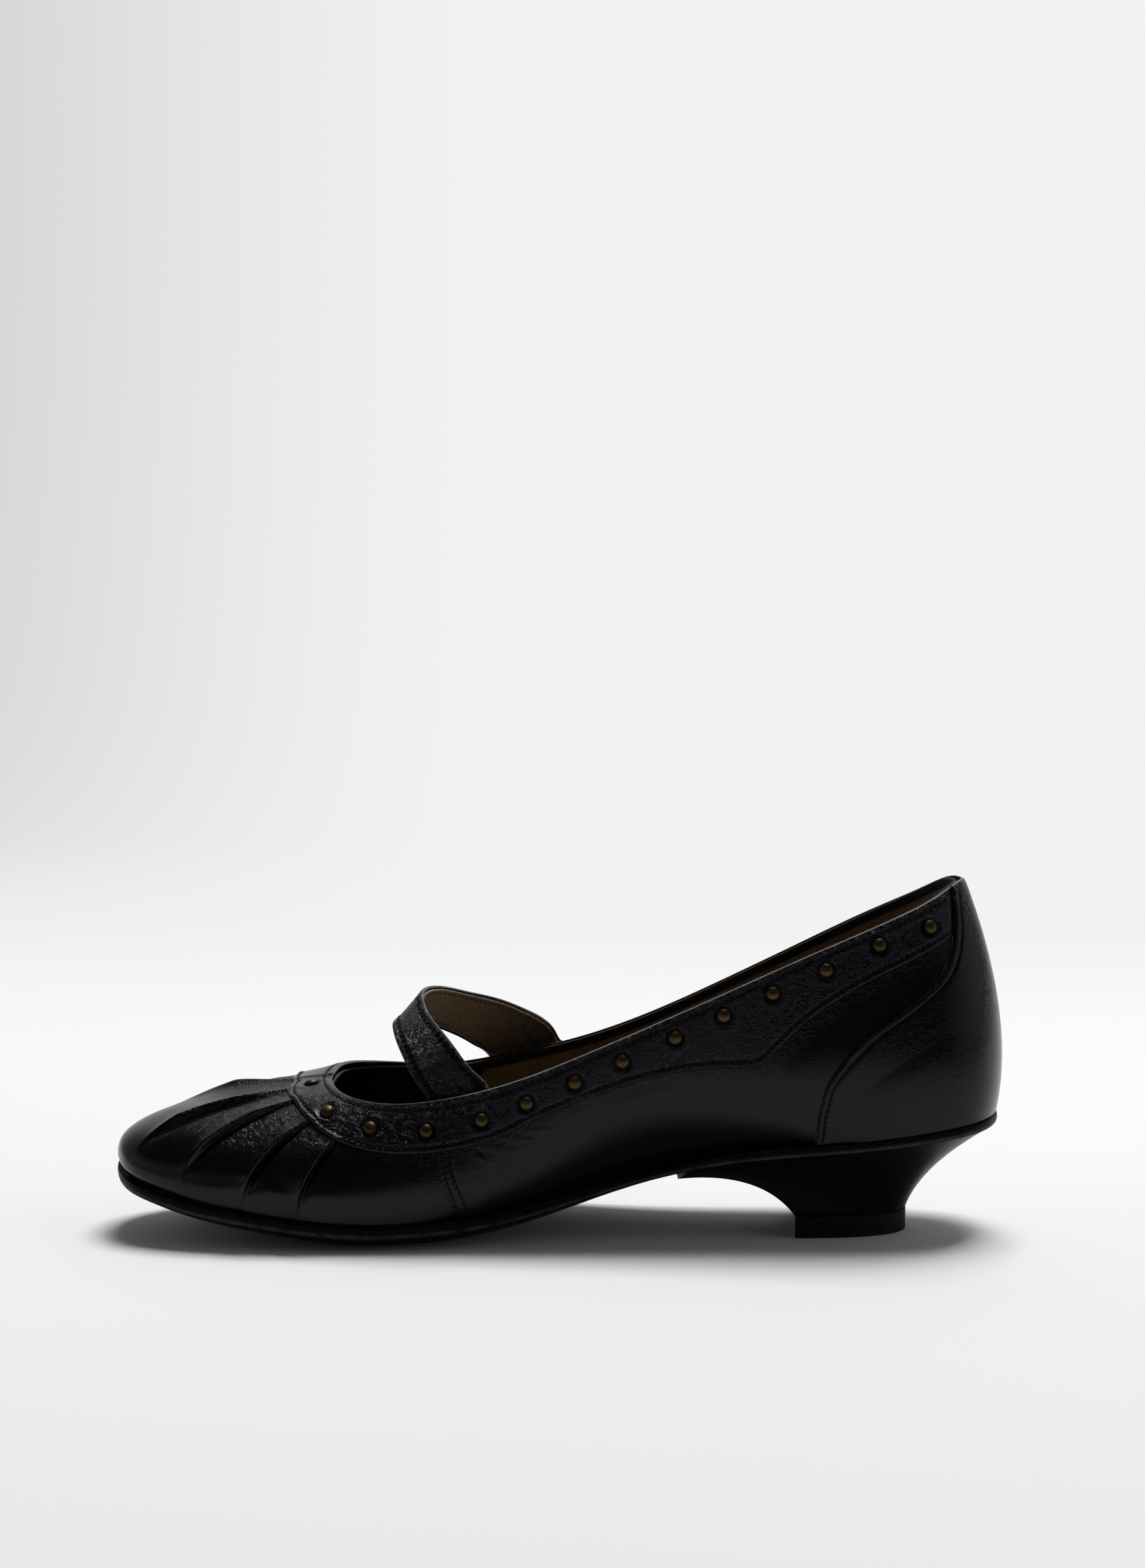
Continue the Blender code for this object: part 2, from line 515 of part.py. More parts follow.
def strap_edges():
    """Rows of the strap's mid surface, front edge to rear edge, from inner end to outer end."""
    across = STRAP_ACROSS
    inner_height = -(UPPER_WALL + CURVED_GAP + STRAP_THICKNESS / 2)
    outer_height = 2 * CURVED_GAP + BAND_THICKNESS + STRAP_THICKNESS / 2
    rows = []
    for ends, height in ((STRAP_INNER_END, inner_height), (STRAP_OUTER_END, outer_height)):
        for front, rear in ends:
            u = front[0] * (1 - across) + rear[0] * across
            t = front[1] * (1 - across) + rear[1] * across
            rows.append(surface(u, t, height))
    free = [np.outer(1 - across, front) + np.outer(across, rear) for front, rear in STRAP_FREE_RUN]
    return np.array([*rows[:len(STRAP_INNER_END)], *free, *rows[len(STRAP_INNER_END):]])


def natural_curve(rows, fine):
    """Cubic spline through the rows, with fine steps between each two of them."""
    count = len(rows)
    flat = rows.reshape(count, -1)
    reach = np.concatenate([[0], np.cumsum(np.linalg.norm(np.diff(flat, axis=0), axis=1))])
    gaps = np.diff(reach)
    system = np.eye(count)
    target = np.zeros_like(flat)
    for i in range(1, count - 1):
        system[i, i - 1:i + 2] = gaps[i - 1] / 6, (gaps[i - 1] + gaps[i]) / 3, gaps[i] / 6
        target[i] = (flat[i + 1] - flat[i]) / gaps[i] - (flat[i] - flat[i - 1]) / gaps[i - 1]
    bends = np.linalg.solve(system, target)
    made = []
    for i, gap in enumerate(gaps):
        for b in np.arange(fine) / fine:
            a = 1 - b
            point = a * flat[i] + b * flat[i + 1]
            made.append(point + ((a**3 - a) * bends[i] + (b**3 - b) * bends[i + 1]) * gap**2 / 6)
    made.append(flat[-1])
    return np.array(made).reshape(-1, *rows.shape[1:])


def make_strap(look, collection):
    middle = natural_curve(strap_edges(), STRAP_FINE_STEPS)
    along = np.gradient(middle, axis=0)
    across = np.gradient(middle, axis=1)
    normal = np.cross(along, across)
    normal /= np.linalg.norm(normal, axis=-1, keepdims=True)
    half = STRAP_THICKNESS / 2 * normal
    return slab("strap", middle + half, middle - half, look, collection)


def stud_height(u, below_topline):
    """Height on ray u that lies so far below the topline."""
    t = STUD_LINE_HEIGHTS
    line = last_point(u, t)
    below = np.linalg.norm(line - line[-1], axis=1)
    return np.interp(-below_topline, -below, t)


def dome_mesh(look):
    """Half a stud's outline, turned by the Screw modifier of each stud."""
    mesh = bpy.data.meshes.new("stud_outline")
    profile = [(0.0, 0.0, STUD_RISE / 1000.0)]
    for i in range(1, STUD_PROFILE_STEPS + 1):
        angle = i / STUD_PROFILE_STEPS * np.pi / 2
        profile.append((STUD_RADIUS * np.sin(angle) / 1000.0, 0.0, STUD_RISE * np.cos(angle) / 1000.0))
    profile.append((0.0, 0.0, 0.0))
    mesh.from_pydata(profile, [(i, i + 1) for i in range(len(profile) - 1)], [])
    mesh.materials.append(look)
    return mesh


def make_studs(look, collection):
    mesh = dome_mesh(look)
    covered_from, covered_to = STUDS_UNDER_STRAP
    lateral = [(RAY_COUNT - u, below) for u, below in STUD_PLACES if not covered_from < RAY_COUNT - u < covered_to]
    for number, (u, below) in enumerate([*STUD_PLACES, *lateral], start=1):
        t = stud_height(u, below)
        base = CURVED_GAP + BAND_THICKNESS + FIT_GAP
        foot = surface(u, t, base)
        axis = Vector(surface(u, t, base + 1) - foot)
        stud = bpy.data.objects.new(f"stud_{number:02d}", mesh)
        turned = axis.to_track_quat("Z", "Y").to_matrix().to_4x4()
        stud.matrix_world = Matrix.Translation(Vector(place(foot))) @ turned
        screw = stud.modifiers.new("turned", "SCREW")
        screw.steps = STUD_TURN_STEPS
        screw.render_steps = STUD_TURN_STEPS
        screw.use_merge_vertices = True
        screw.merge_threshold = 0.00001
        screw.use_smooth_shade = True
        collection.objects.link(stud)


def main():
    for obj in list(bpy.data.objects):
        bpy.data.objects.remove(obj, do_unlink=True)
    collection = bpy.data.collections.new("strap_shoe")
    bpy.context.scene.collection.children.link(collection)
    make_upper(material("upper_leather", (0.018, 0.018, 0.021), 0.42), collection)
    make_outsole(material("outsole_leather", (0.02, 0.02, 0.022), 0.5), collection)
    make_heel(material("heel_covering", (0.016, 0.015, 0.017), 0.45), collection)
    make_top_piece(material("top_piece_rubber", (0.02, 0.02, 0.02), 0.7), collection)
    make_insole(material("insole_leather", (0.30, 0.20, 0.11), 0.7), collection)
    make_counter(material("counter_leather", (0.018, 0.018, 0.021), 0.42), collection)
    make_band(material("band_leather", (0.016, 0.017, 0.019), 0.42), collection)
    make_strap(material("strap_leather", (0.018, 0.018, 0.021), 0.42), collection)
    make_studs(material("stud_brass", (0.42, 0.31, 0.15), 0.35, 1.0), collection)


if __name__ == "__main__":
    main()
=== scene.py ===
"""Looks for a black low-heeled strap pump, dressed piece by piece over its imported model.

Every skin lies on the shoe's last. Rays run from the feather line, where the upper meets the sole, up and
over to the topline, where the foot goes in: ray 0 is the middle of the toe, ray 15 the middle of the heel,
and rays 15 to 30 come back along the outer side. A place on the last is a ray number u and a height t on
that ray, 0 at the feather line and 1 at the topline. Shapes are worked out in millimetres with x from the
toe tip, and placed() turns them into the model's metres.
"""

from __future__ import annotations

import logging
import math
from dataclasses import dataclass, field
from enum import Enum
from typing import Callable, Sequence

import bpy
import numpy as np
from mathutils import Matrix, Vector
from mathutils.kdtree import KDTree


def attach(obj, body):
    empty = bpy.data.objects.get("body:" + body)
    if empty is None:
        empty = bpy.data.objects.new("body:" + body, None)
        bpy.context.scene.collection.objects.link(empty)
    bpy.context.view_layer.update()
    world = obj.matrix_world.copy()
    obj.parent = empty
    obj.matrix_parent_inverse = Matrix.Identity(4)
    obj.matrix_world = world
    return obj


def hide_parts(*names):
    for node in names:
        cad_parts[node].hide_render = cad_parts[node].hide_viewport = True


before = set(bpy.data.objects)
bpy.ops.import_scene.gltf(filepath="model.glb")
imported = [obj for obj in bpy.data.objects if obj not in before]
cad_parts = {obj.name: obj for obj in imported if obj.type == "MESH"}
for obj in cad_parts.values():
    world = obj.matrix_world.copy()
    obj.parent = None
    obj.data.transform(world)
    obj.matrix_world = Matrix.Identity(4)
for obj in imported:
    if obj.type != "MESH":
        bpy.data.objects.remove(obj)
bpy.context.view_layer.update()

log = logging.getLogger("strap_pump")

Array = np.ndarray
Piece = bpy.types.Object
Material = bpy.types.Material
Node = bpy.types.Node
Socket = bpy.types.NodeSocket
LENGTH = 250.0
MIDDLE_Y = 0.5
MM = 0.001
RIM = 1.5
FOOT = -0.004

# One row for each ray of the last, toe to heel: feather x, y, z; topline x, y, z; how far the ray leaves
# the feather line out and up; and how it reaches the topline: share of the way back, out and down.
RAY_COLUMNS = ("feather_x", "feather_y", "feather_z", "top_x", "top_y", "top_z",
               "low_out", "low_up", "high_share", "high_out", "high_down")
MEDIAL_RAYS = (
    (1.5, -2.0, 19.3, 60.5, -1.0, 41.8, 2.5, 15, 0.68, 0.0, 6.0),
    (4.5, -17.0, 17.6, 60.6, -3.4, 41.8, 3.0, 15, 0.67, 0.0, 6.0),
    (12.5, -26.0, 15.3, 61.1, -8.0, 41.7, 3.5, 15, 0.64, 0.0, 6.0),
    (26.0, -32.5, 12.3, 63.0, -15.8, 41.0, 3.5, 14, 0.57, 0.5, 6.3),
    (44.0, -36.3, 9.6, 68.2, -23.2, 39.8, 3.5, 14, 0.46, 1.0, 8.0),
    (66.0, -37.7, 7.3, 78.8, -28.3, 39.4, 3.5, 13, 0.33, 2.0, 10.0),
    (90.0, -35.2, 7.6, 93.0, -30.0, 41.2, 3.5, 13, 0.20, 2.5, 12.0),
    (113.0, -29.5, 10.3, 111.0, -30.0, 45.7, 4.0, 13, 0.10, 2.5, 13.0),
    (136.0, -24.3, 16.3, 131.0, -28.7, 53.2, 4.5, 14, 0.00, 2.5, 14.0),
    (158.0, -22.3, 21.9, 151.5, -26.9, 61.8, 5.0, 15, 0.00, 2.5, 14.0),
    (180.0, -23.7, 25.6, 172.0, -25.2, 70.7, 5.0, 17, 0.00, 2.5, 16.0),
    (201.0, -26.0, 27.9, 192.5, -23.6, 79.7, 5.0, 19, 0.00, 3.0, 18.0),
    (220.0, -26.6, 30.2, 211.5, -21.5, 87.7, 5.0, 21, 0.00, 3.5, 20.0),
    (236.0, -22.0, 32.3, 226.5, -16.5, 94.2, 5.0, 22, 0.00, 4.2, 21.0),
    (244.3, -12.5, 33.4, 234.8, -9.0, 98.6, 5.0, 22, 0.00, 6.0, 20.0),
    (247.0, 0.0, 33.7, 237.6, 0.0, 99.2, 4.8, 22, 0.00, 7.3, 19.0),
)
# The lateral side differs from the medial one in feather y, topline x, y and z; toe to heel.
LATERAL_CHANGES = (
    (12.5, 60.6, 1.6, 42.1), (22.5, 61.1, 6.4, 42.5), (30.5, 62.8, 14.8, 43.0), (36.0, 67.8, 23.2, 42.6),
    (38.6, 78.8, 29.2, 41.6), (38.5, 93.0, 31.0, 41.3), (35.0, 111.0, 31.0, 44.4), (31.0, 131.0, 30.0, 49.3),
    (28.3, 151.5, 28.3, 56.9), (27.7, 172.0, 26.3, 66.5), (28.0, 192.5, 24.2, 76.7), (27.4, 211.5, 21.8, 86.2),
    (22.3, 226.5, 17.0, 93.6), (12.7, 234.8, 9.0, 98.5),
)
LATERAL_RAYS = tuple((ray[0], y, ray[2], *top, *ray[6:]) for ray, (y, *top) in zip(MEDIAL_RAYS[1:], LATERAL_CHANGES))
HEEL_RAY = len(MEDIAL_RAYS) - 1
RAY_COUNT = 2 * HEEL_RAY

# Lower edge of the band: ray number out from the toe's middle, and height on the ray.
BAND_FRONT_EDGE = ((0.0, 0.905), (1.0, 0.890), (2.2, 0.855), (3.1, 0.812), (3.7, 0.750), (4.4, 0.655),
                   (5.1, 0.594), (6.0, 0.578), (6.7, 0.608), (7.4, 0.678), (8.3, 0.679),
                   (9.2, 0.622), (10.2, 0.500))
BAND_BACK_EDGE = ((10.2, 0.500), (10.9, 0.665), (11.6, 0.745), (12.6, 0.788), (13.5, 0.803))
BAND_CORNER = BAND_FRONT_EDGE[-1][0]

# Front edge of the heel counter, and the seam between vamp and quarter: height on the ray, ray number.
COUNTER_EDGE = ((0.0, 10.72), (0.2, 10.85), (0.35, 11.07), (0.45, 11.40), (0.53, 11.80), (0.60, 12.40),
                (0.67, 13.00), (0.78, 13.47), (0.90, 13.72), (1.0, 13.85))
QUARTER_SEAM = ((0.0, 6.30), (0.15, 6.21), (0.31, 6.11), (0.45, 6.04), (0.62, 5.98))

# Knife pleats, alike on both sides but for the first: ray number, height where it fades out below, height
# of the fold and width of its step in millimetres. The fold's section runs from behind, on the toe side, to
# the step: steps of width in front of the fold, millimetres behind it, and share of the fold's height.
PLEATS = ((1.28, 0.20, 2.1, 1.2), (2.62, 0.12, 2.0, 0.8), (3.68, -0.04, 1.9, 0.75), (4.42, -0.06, 1.8, 0.75))
PLEAT_SECTION = ((-16.0, 0.0), (-10.0, 0.12), (-6.0, 0.26), (-3.2, 0.46), (-1.7, 0.70), (-0.9, 0.93),
                 (-0.35, 1.0), (0.0, 0.86), (0.35, 0.40), (0.7, -0.08), (1.0, -0.26), (1.5, -0.22),
                 (2.6, -0.06), (4.2, 0.0))
OUTER_FIRST_PLEAT = (0.95, 0.42, 3.3, 1.8)
PLEAT_FADE = 0.30

# How far up from the feather line the upper is drawn under at the waist: ray number, millimetres.
TUCK = ((5.6, 0.0), (6.5, 7.0), (7.3, 13.0), (8.3, 23.0), (9.3, 20.0), (10.1, 12.0), (10.9, 4.0), (11.6, 0.0))
TUCK_SLOPE = 0.42

# The sole, at ray numbers counted toe to heel: how far its middle hangs below its edge, its thickness,
# and how much thicker its middle is.
SOLE_CROWN = ((0, 0.0), (1, 1.0), (2, 2.2), (3, 3.3), (4, 4.0), (5, 4.4), (6, 4.4), (7, 3.7), (8, 2.8),
              (9, 1.6), (10, 0.5), (11, 0.0), (12, 0.0), (13, 0.0), (14, 0.0), (15, 0.0))
SOLE_THICKNESS = ((0, 2.8), (2, 3.0), (4, 3.2), (6, 3.2), (7, 2.7), (8, 2.4), (10, 2.5), (12, 2.8),
                  (14, 2.8), (15, 2.6))
SOLE_SWELL = ((0, 0.0), (2, 0.4), (4, 1.0), (5, 1.2), (6, 1.3), (7, 0.9), (8, 0.3), (9, 0.0), (15, 0.0))

# The strap: its ends as (ray, height) of the front and rear edge on the wall, and its free run between.
STRAP_INNER_END = (((5.85, 0.72), (6.62, 0.76)), ((5.78, 0.88), (6.66, 0.90)), ((5.72, 1.0), (6.70, 1.0)))
STRAP_FREE_RUN = (
    ((85.4, -27.0, 45.4), (101.1, -26.5, 48.6)),
    ((81.9, -25.0, 51.3), (95.1, -25.0, 56.1)),
    ((79.6, -21.5, 55.9), (90.4, -20.5, 61.0)),
    ((78.6, -16.5, 59.0), (87.4, -13.0, 64.8)),
    ((79.8, -9.5, 59.3), (87.3, -6.0, 67.9)),
    ((83.8, -2.0, 58.4), (91.9, 2.0, 67.9)),
    ((90.5, 6.0, 55.2), (99.6, 9.5, 65.2)),
    ((97.0, 15.0, 50.8), (108.9, 17.5, 61.6)),
    ((100.4, 22.5, 47.4), (117.0, 25.0, 56.9)),
    ((102.2, 28.5, 45.4), (121.0, 30.2, 53.6)),
    ((103.2, 32.2, 43.8), (123.6, 32.9, 50.2)),
)
STRAP_OUTER_END = (((23.36, 0.97), (22.31, 1.0)), ((23.12, 0.86), (22.10, 0.94)),
                   ((22.82, 0.77), (21.85, 0.88)), ((22.52, 0.68), (21.62, 0.82)))

# Studs of the medial side, toe to heel: the ray each is on and how far it is below the topline. The
# lateral side mirrors them, but for those that the strap's outer end covers.
STUD_PLACES = ((1.63, 6.0), (3.83, 8.0), (4.85, 8.4), (5.77, 8.5), (6.59, 8.0), (7.22, 7.0), (7.88, 6.5),
               (8.52, 6.2), (9.23, 6.0), (9.89, 5.9), (10.55, 5.9), (11.28, 6.0), (12.07, 5.4), (12.98, 6.9))
STUDS_UNDER_STRAP = (21.7, 23.1)


# ---------------- the last


def placed(points: Array) -> Array:
    """Millimetres from the toe tip, as the model's metres."""
    return (np.asarray(points) - [LENGTH / 2, MIDDLE_Y, 0.0]) * MM


def table_curve(table: Sequence[Sequence[float]], at: Array) -> Array:
    """Smooth curve through a table of (where, value) rows.

    Args:
        table: rows of where and value, in rising order.
        at: where the curve is wanted.

    Returns:
        The values, held constant past either end.
    """
    where, value = np.array(table, dtype=float).T
    slope = np.gradient(value, where)
    at = np.clip(at, where[0], where[-1])
    low = np.clip(np.searchsorted(where, at, side="right") - 1, 0, len(where) - 2)
    width = where[low + 1] - where[low]
    b = (at - where[low]) / width
    a = 1 - b
    rows = a**2 * (1 + 2 * b) * value[low] + b**2 * (1 + 2 * a) * value[low + 1]
    return rows + a * b * width * (a * slope[low] - b * slope[low + 1])


def run_length(points: Array) -> Array:
    """How far along its run each point of a row of points lies."""
    return np.concatenate([[0], np.cumsum(np.linalg.norm(np.diff(points, axis=0), axis=1))])


def resampled(stops: Array, along: Array, rows: Array) -> Array:
    """Rows of values that belong to the lengths along, read off at the stops."""
    return np.stack([np.interp(stops, along, column) for column in rows.T], axis=1)


def unit(vectors: Array) -> Array:
    """The vectors drawn to length 1."""
    return vectors / np.linalg.norm(vectors, axis=-1, keepdims=True)


def soft_step(value: Array) -> Array:
    """0 below 0, 1 above 1, and smooth between."""
    held = np.clip(value, 0, 1)
    return held * held * (3 - 2 * held)


def hump(distance: Array, width: float) -> Array:
    """A soft bump, 1 in its middle and gone by about two widths away."""
    return np.exp(-((np.asarray(distance) / width) ** 2))


def rounded(distance: Array, radius: float) -> Array:
    """Share of full height this far inside an edge that is rounded to radius."""
    inside = np.clip(np.asarray(distance) / radius, 0, 1)
    return np.sqrt(1 - (1 - inside) ** 2)


def together(*values: Array | float) -> list[Array]:
    """The values as arrays of one shape."""
    return np.broadcast_arrays(*(np.asarray(value, dtype=float) for value in values))


class Last:
    """The form that the shoe is made on, and the lines drawn on it."""

    def __init__(self) -> None:
        """Works out the splines through the rays and how long each ray is."""
        self.rays = np.array(MEDIAL_RAYS + LATERAL_RAYS[::-1], dtype=float)
        count = len(self.rays)
        after = np.roll(np.eye(count), 1, axis=1)
        system = 4 * np.eye(count) + after + after.T
        bends = np.roll(self.rays, -1, axis=0) - 2 * self.rays + np.roll(self.rays, 1, axis=0)
        self.bends = np.linalg.solve(system, 6 * bends)
        self.u_steps = np.linspace(0, RAY_COUNT, 601)
        self.t_steps = np.linspace(0, 1, 161)
        lines = self.point(self.u_steps[:, None], self.t_steps[None, :])
        runs = np.linalg.norm(np.diff(lines, axis=1), axis=-1)
        self.from_top = np.pad(np.cumsum(runs[:, ::-1], axis=1)[:, ::-1], ((0, 0), (0, 1)))

    def values(self, u: Array) -> dict[str, Array]:
        """The table's columns at ray number u.

        Args:
            u: ray numbers.

        Returns:
            Each column's values.
        """
        u = np.mod(np.asarray(u, dtype=float), RAY_COUNT)
        low = np.floor(u).astype(int) % RAY_COUNT
        high = (low + 1) % RAY_COUNT
        b = (u - np.floor(u))[..., None]
        a = 1 - b
        rows = a * self.rays[low] + b * self.rays[high]
        rows = rows + ((a**3 - a) * self.bends[low] + (b**3 - b) * self.bends[high]) / 6
        return dict(zip(RAY_COLUMNS, np.moveaxis(rows, -1, 0)))

    def outward(self, u: Array, name: str) -> Array:
        """Level unit vector pointing out of the closed line called name, feather or top, at ray u.

        Args:
            u: ray numbers.
            name: feather or top.

        Returns:
            A vector for each ray number.
        """
        before, after = self.values(np.asarray(u) - 0.01), self.values(np.asarray(u) + 0.01)
        along_x = after[name + "_x"] - before[name + "_x"]
        along_y = after[name + "_y"] - before[name + "_y"]
        size = np.hypot(along_x, along_y)
        return np.stack([along_y / size, -along_x / size, 0 * size], axis=-1)

    def point(self, u: Array, t: Array) -> Array:
        """Point of the last on ray u at height t.

        Args:
            u: ray numbers.
            t: heights on the rays.

        Returns:
            A point for each place.
        """
        u, t = together(u, t)
        v = self.values(u)
        up = np.array([0.0, 0.0, 1.0])
        feather = np.stack([v["feather_x"], v["feather_y"], v["feather_z"]], axis=-1)
        top = np.stack([v["top_x"], v["top_y"], v["top_z"]], axis=-1)
        back = (feather - top) * [1, 1, 0]
        low = feather + v["low_out"][..., None] * self.outward(u, "feather") + v["low_up"][..., None] * up
        high = top + v["high_share"][..., None] * back + v["high_out"][..., None] * self.outward(u, "top")
        high = high - v["high_down"][..., None] * up
        b = t[..., None]
        a = 1 - b
        return a**3 * feather + 3 * a**2 * b * low + 3 * a * b**2 * high + b**3 * top

    def normal(self, u: Array, t: Array) -> Array:
        """Unit vectors pointing out of the last."""
        rise = self.point(u, t + 0.004) - self.point(u, t - 0.004)
        return unit(np.cross(self.point(u + 0.004, t) - self.point(u - 0.004, t), rise))

    def surface(self, u: Array, t: Array, height: Array | float = 0.0) -> Array:
        """Point so many millimetres above the last."""
        return self.point(u, t) + np.asarray(height)[..., None] * self.normal(u, t)

    def depth_at(self, u: Array, t: Array) -> Array:
        """Millimetres along ray u from the topline down to height t.

        Args:
            u: ray numbers.
            t: heights on the rays.

        Returns:
            A length for each place.
        """
        u, t = together(np.mod(u, RAY_COUNT), t)
        across, up = u * 20, np.clip(t, 0, 1) * 160
        i, j = np.minimum(across.astype(int), 599), np.minimum(up.astype(int), 159)
        a, b = across - i, up - j
        table = self.from_top
        near = table[i, j] * (1 - b) + table[i, j + 1] * b
        far = table[i + 1, j] * (1 - b) + table[i + 1, j + 1] * b
        return near * (1 - a) + far * a

    def below_top(self, u: Array, down: Array) -> Array:
        """Height on ray u that lies so many millimetres below the topline.

        Args:
            u: ray numbers.
            down: millimetres below the topline.

        Returns:
            A height for each ray number.
        """
        u, down = together(u, down)
        low, high = np.zeros(u.shape), np.ones(u.shape)
        for _ in range(22):
            middle = (low + high) / 2
            below = self.depth_at(u, middle) > down
            low, high = np.where(below, middle, low), np.where(below, high, middle)
        return (low + high) / 2

    def ray_width(self, u: Array, t: Array) -> Array:
        """How far apart neighbouring rays lie here."""
        return np.linalg.norm(self.point(u + 0.02, t) - self.point(u - 0.02, t), axis=-1) / 0.04

    def beside(self, line: Array, distance: float) -> Array:
        """A line on the last as (u, t) rows, moved sideways.

        Args:
            line: rows of ray number and height.
            distance: millimetres to move, to the right of the line's run as seen from outside.

        Returns:
            The moved rows.
        """
        u, t = line[:, 0], line[:, 1]
        by_u = (self.point(u + 0.01, t) - self.point(u - 0.01, t)) / 0.02
        by_t = (self.point(u, t + 0.002) - self.point(u, t - 0.002)) / 0.004
        run = np.gradient(u)[:, None] * by_u + np.gradient(t)[:, None] * by_t
        aside = np.cross(run, self.normal(u, t))
        aside *= distance / np.linalg.norm(aside, axis=1, keepdims=True)
        a, b, c = (by_u * by_u).sum(1), (by_u * by_t).sum(1), (by_t * by_t).sum(1)
        p, q = (by_u * aside).sum(1), (by_t * aside).sum(1)
        size = a * c - b * b
        return line + np.stack([(c * p - b * q) / size, (a * q - b * p) / size], axis=1)


LAST = Last()


def rays_apart(u: Array, centre: Array | float) -> Array:
    """Rays from centre to u the short way round, below 0 where u comes first."""
    return np.mod(u - centre + HEEL_RAY, RAY_COUNT) - HEEL_RAY


def outer_ray(u: Array) -> Array:
    """Ray number counted out from the toe's middle, alike on both sides."""
    return np.minimum(np.mod(u, RAY_COUNT), RAY_COUNT - np.mod(u, RAY_COUNT))


def band_edge(u: Array) -> Array:
    """Height on ray u of the band's lower edge."""
    out = outer_ray(u)
    return np.where(out < BAND_CORNER, table_curve(BAND_FRONT_EDGE, out), table_curve(BAND_BACK_EDGE, out))


def pleats_all_round() -> list[tuple[tuple[float, ...], int]]:
    """Every pleat, with 1 on the medial side and -1 on the lateral one, whose first pleat stands higher."""
    return [(row, 1) for row in PLEATS] + [(row, -1) for row in (OUTER_FIRST_PLEAT, *PLEATS[1:])]


def sole_edge(u: Array, rim: float = RIM) -> Array:
    """Level place of the sole's edge on ray u, a rim's width outside the feather line."""
    v = LAST.values(u)
    return np.stack([v["feather_x"], v["feather_y"]], axis=-1) + rim * LAST.outward(u, "feather")[..., :2]


SPREAD = np.linspace(0, HEEL_RAY, 601)
MEDIAL_EDGE = sole_edge(SPREAD)
LATERAL_EDGE = sole_edge(RAY_COUNT - SPREAD)
RIB_X, RIB_Y = ((MEDIAL_EDGE + LATERAL_EDGE) / 2).T


def sole_spine(u: Array, rim: float, low: float, high: float) -> Array:
    """Place on the sole's middle line across from its edge on ray u, kept between two lengths from the toe."""
    x = np.clip((sole_edge(u, rim) + sole_edge(RAY_COUNT - u, rim))[..., 0] / 2, low, high)
    return np.stack([x, np.interp(x, RIB_X, RIB_Y)], axis=-1)


def raised(plan: Array, height: Array) -> Array:
    """Level places lifted to a height each."""
    return np.concatenate([plan, height[..., None]], axis=-1)


def sole_levels(x: Array, y: Array) -> tuple[Array, Array]:
    """Heights of the sole's top and underside at a place; the tread is flat on the floor.

    Args:
        x: millimetres from the toe tip.
        y: millimetres towards the lateral side.

    Returns:
        Top and underside.
    """
    rib = np.interp(x, RIB_X, SPREAD)
    medial = np.interp(x, RIB_X, MEDIAL_EDGE[:, 1])
    lateral = np.interp(x, RIB_X, LATERAL_EDGE[:, 1])
    across = np.clip((y - medial) / np.maximum(lateral - medial, 1.0), 0, 1)
    middle = 1 - np.abs(2 * across - 1) ** 3
    top = LAST.values(rib)["feather_z"] - 0.3 - middle * table_curve(SOLE_CROWN, rib)
    thickness = table_curve(SOLE_THICKNESS, rib) + middle * table_curve(SOLE_SWELL, rib)
    return top, np.maximum(top - thickness, 0.0)


class Line:
    """A drawn line on a surface, sampled finely, that relief and stitches follow."""

    def __init__(self, points: Array, normals: Array) -> None:
        """Keeps the samples and how far along the line each one lies.

        Args:
            points: samples of the line, in millimetres.
            normals: unit vectors out of its surface.
        """
        self.points, self.normals = points, normals
        self.along, self.run = run_length(points), np.gradient(points, axis=0)
        self.tree = KDTree(len(points))
        for number, point in enumerate(points):
            self.tree.insert(Vector(point), number)
        self.tree.balance()

    @classmethod
    def on_last(cls, rows: Array, height: float = 0.0) -> "Line":
        """A line through (u, t) rows, resampled every fifth of a millimetre.

        Args:
            rows: ray numbers and heights.
            height: millimetres above the last.

        Returns:
            The line.
        """
        along = run_length(LAST.point(rows[:, 0], rows[:, 1]))
        stops = np.linspace(0, along[-1], max(8, int(along[-1] * 5)))
        u, t = resampled(stops, along, rows).T
        return cls(LAST.surface(u, t, height), LAST.normal(u, t))

    def near(self, points: Array, reach: float = 6.0) -> tuple[Array, Array]:
        """Distance to the line, and how far along it the nearest sample lies, for each point.

        Args:
            points: any array of points in millimetres.
            reach: beyond this distance a point is only said to be far.

        Returns:
            Arrays of distance and of length along, shaped as the points are.
        """
        flat = points.reshape(-1, 3)
        distance, along = np.full(len(flat), 99.0), np.zeros(len(flat))
        low, high = self.points.min(0) - reach, self.points.max(0) + reach
        for i in np.flatnonzero(((flat > low) & (flat < high)).all(axis=1)):
            _, number, away = self.tree.find(Vector(flat[i]))
            distance[i], along[i] = away, self.along[number]
        return distance.reshape(points.shape[:-1]), along.reshape(points.shape[:-1])

    def stitches(self, pitch: float, start: float = 0.6) -> tuple[Array, ...]:
        """Middle, direction and normal of each stitch, from start to as far before the line's end."""
        stops = np.arange(start, self.along[-1] - start, pitch)
        return tuple(resampled(stops, self.along, rows) for rows in (self.points, self.run, self.normals))


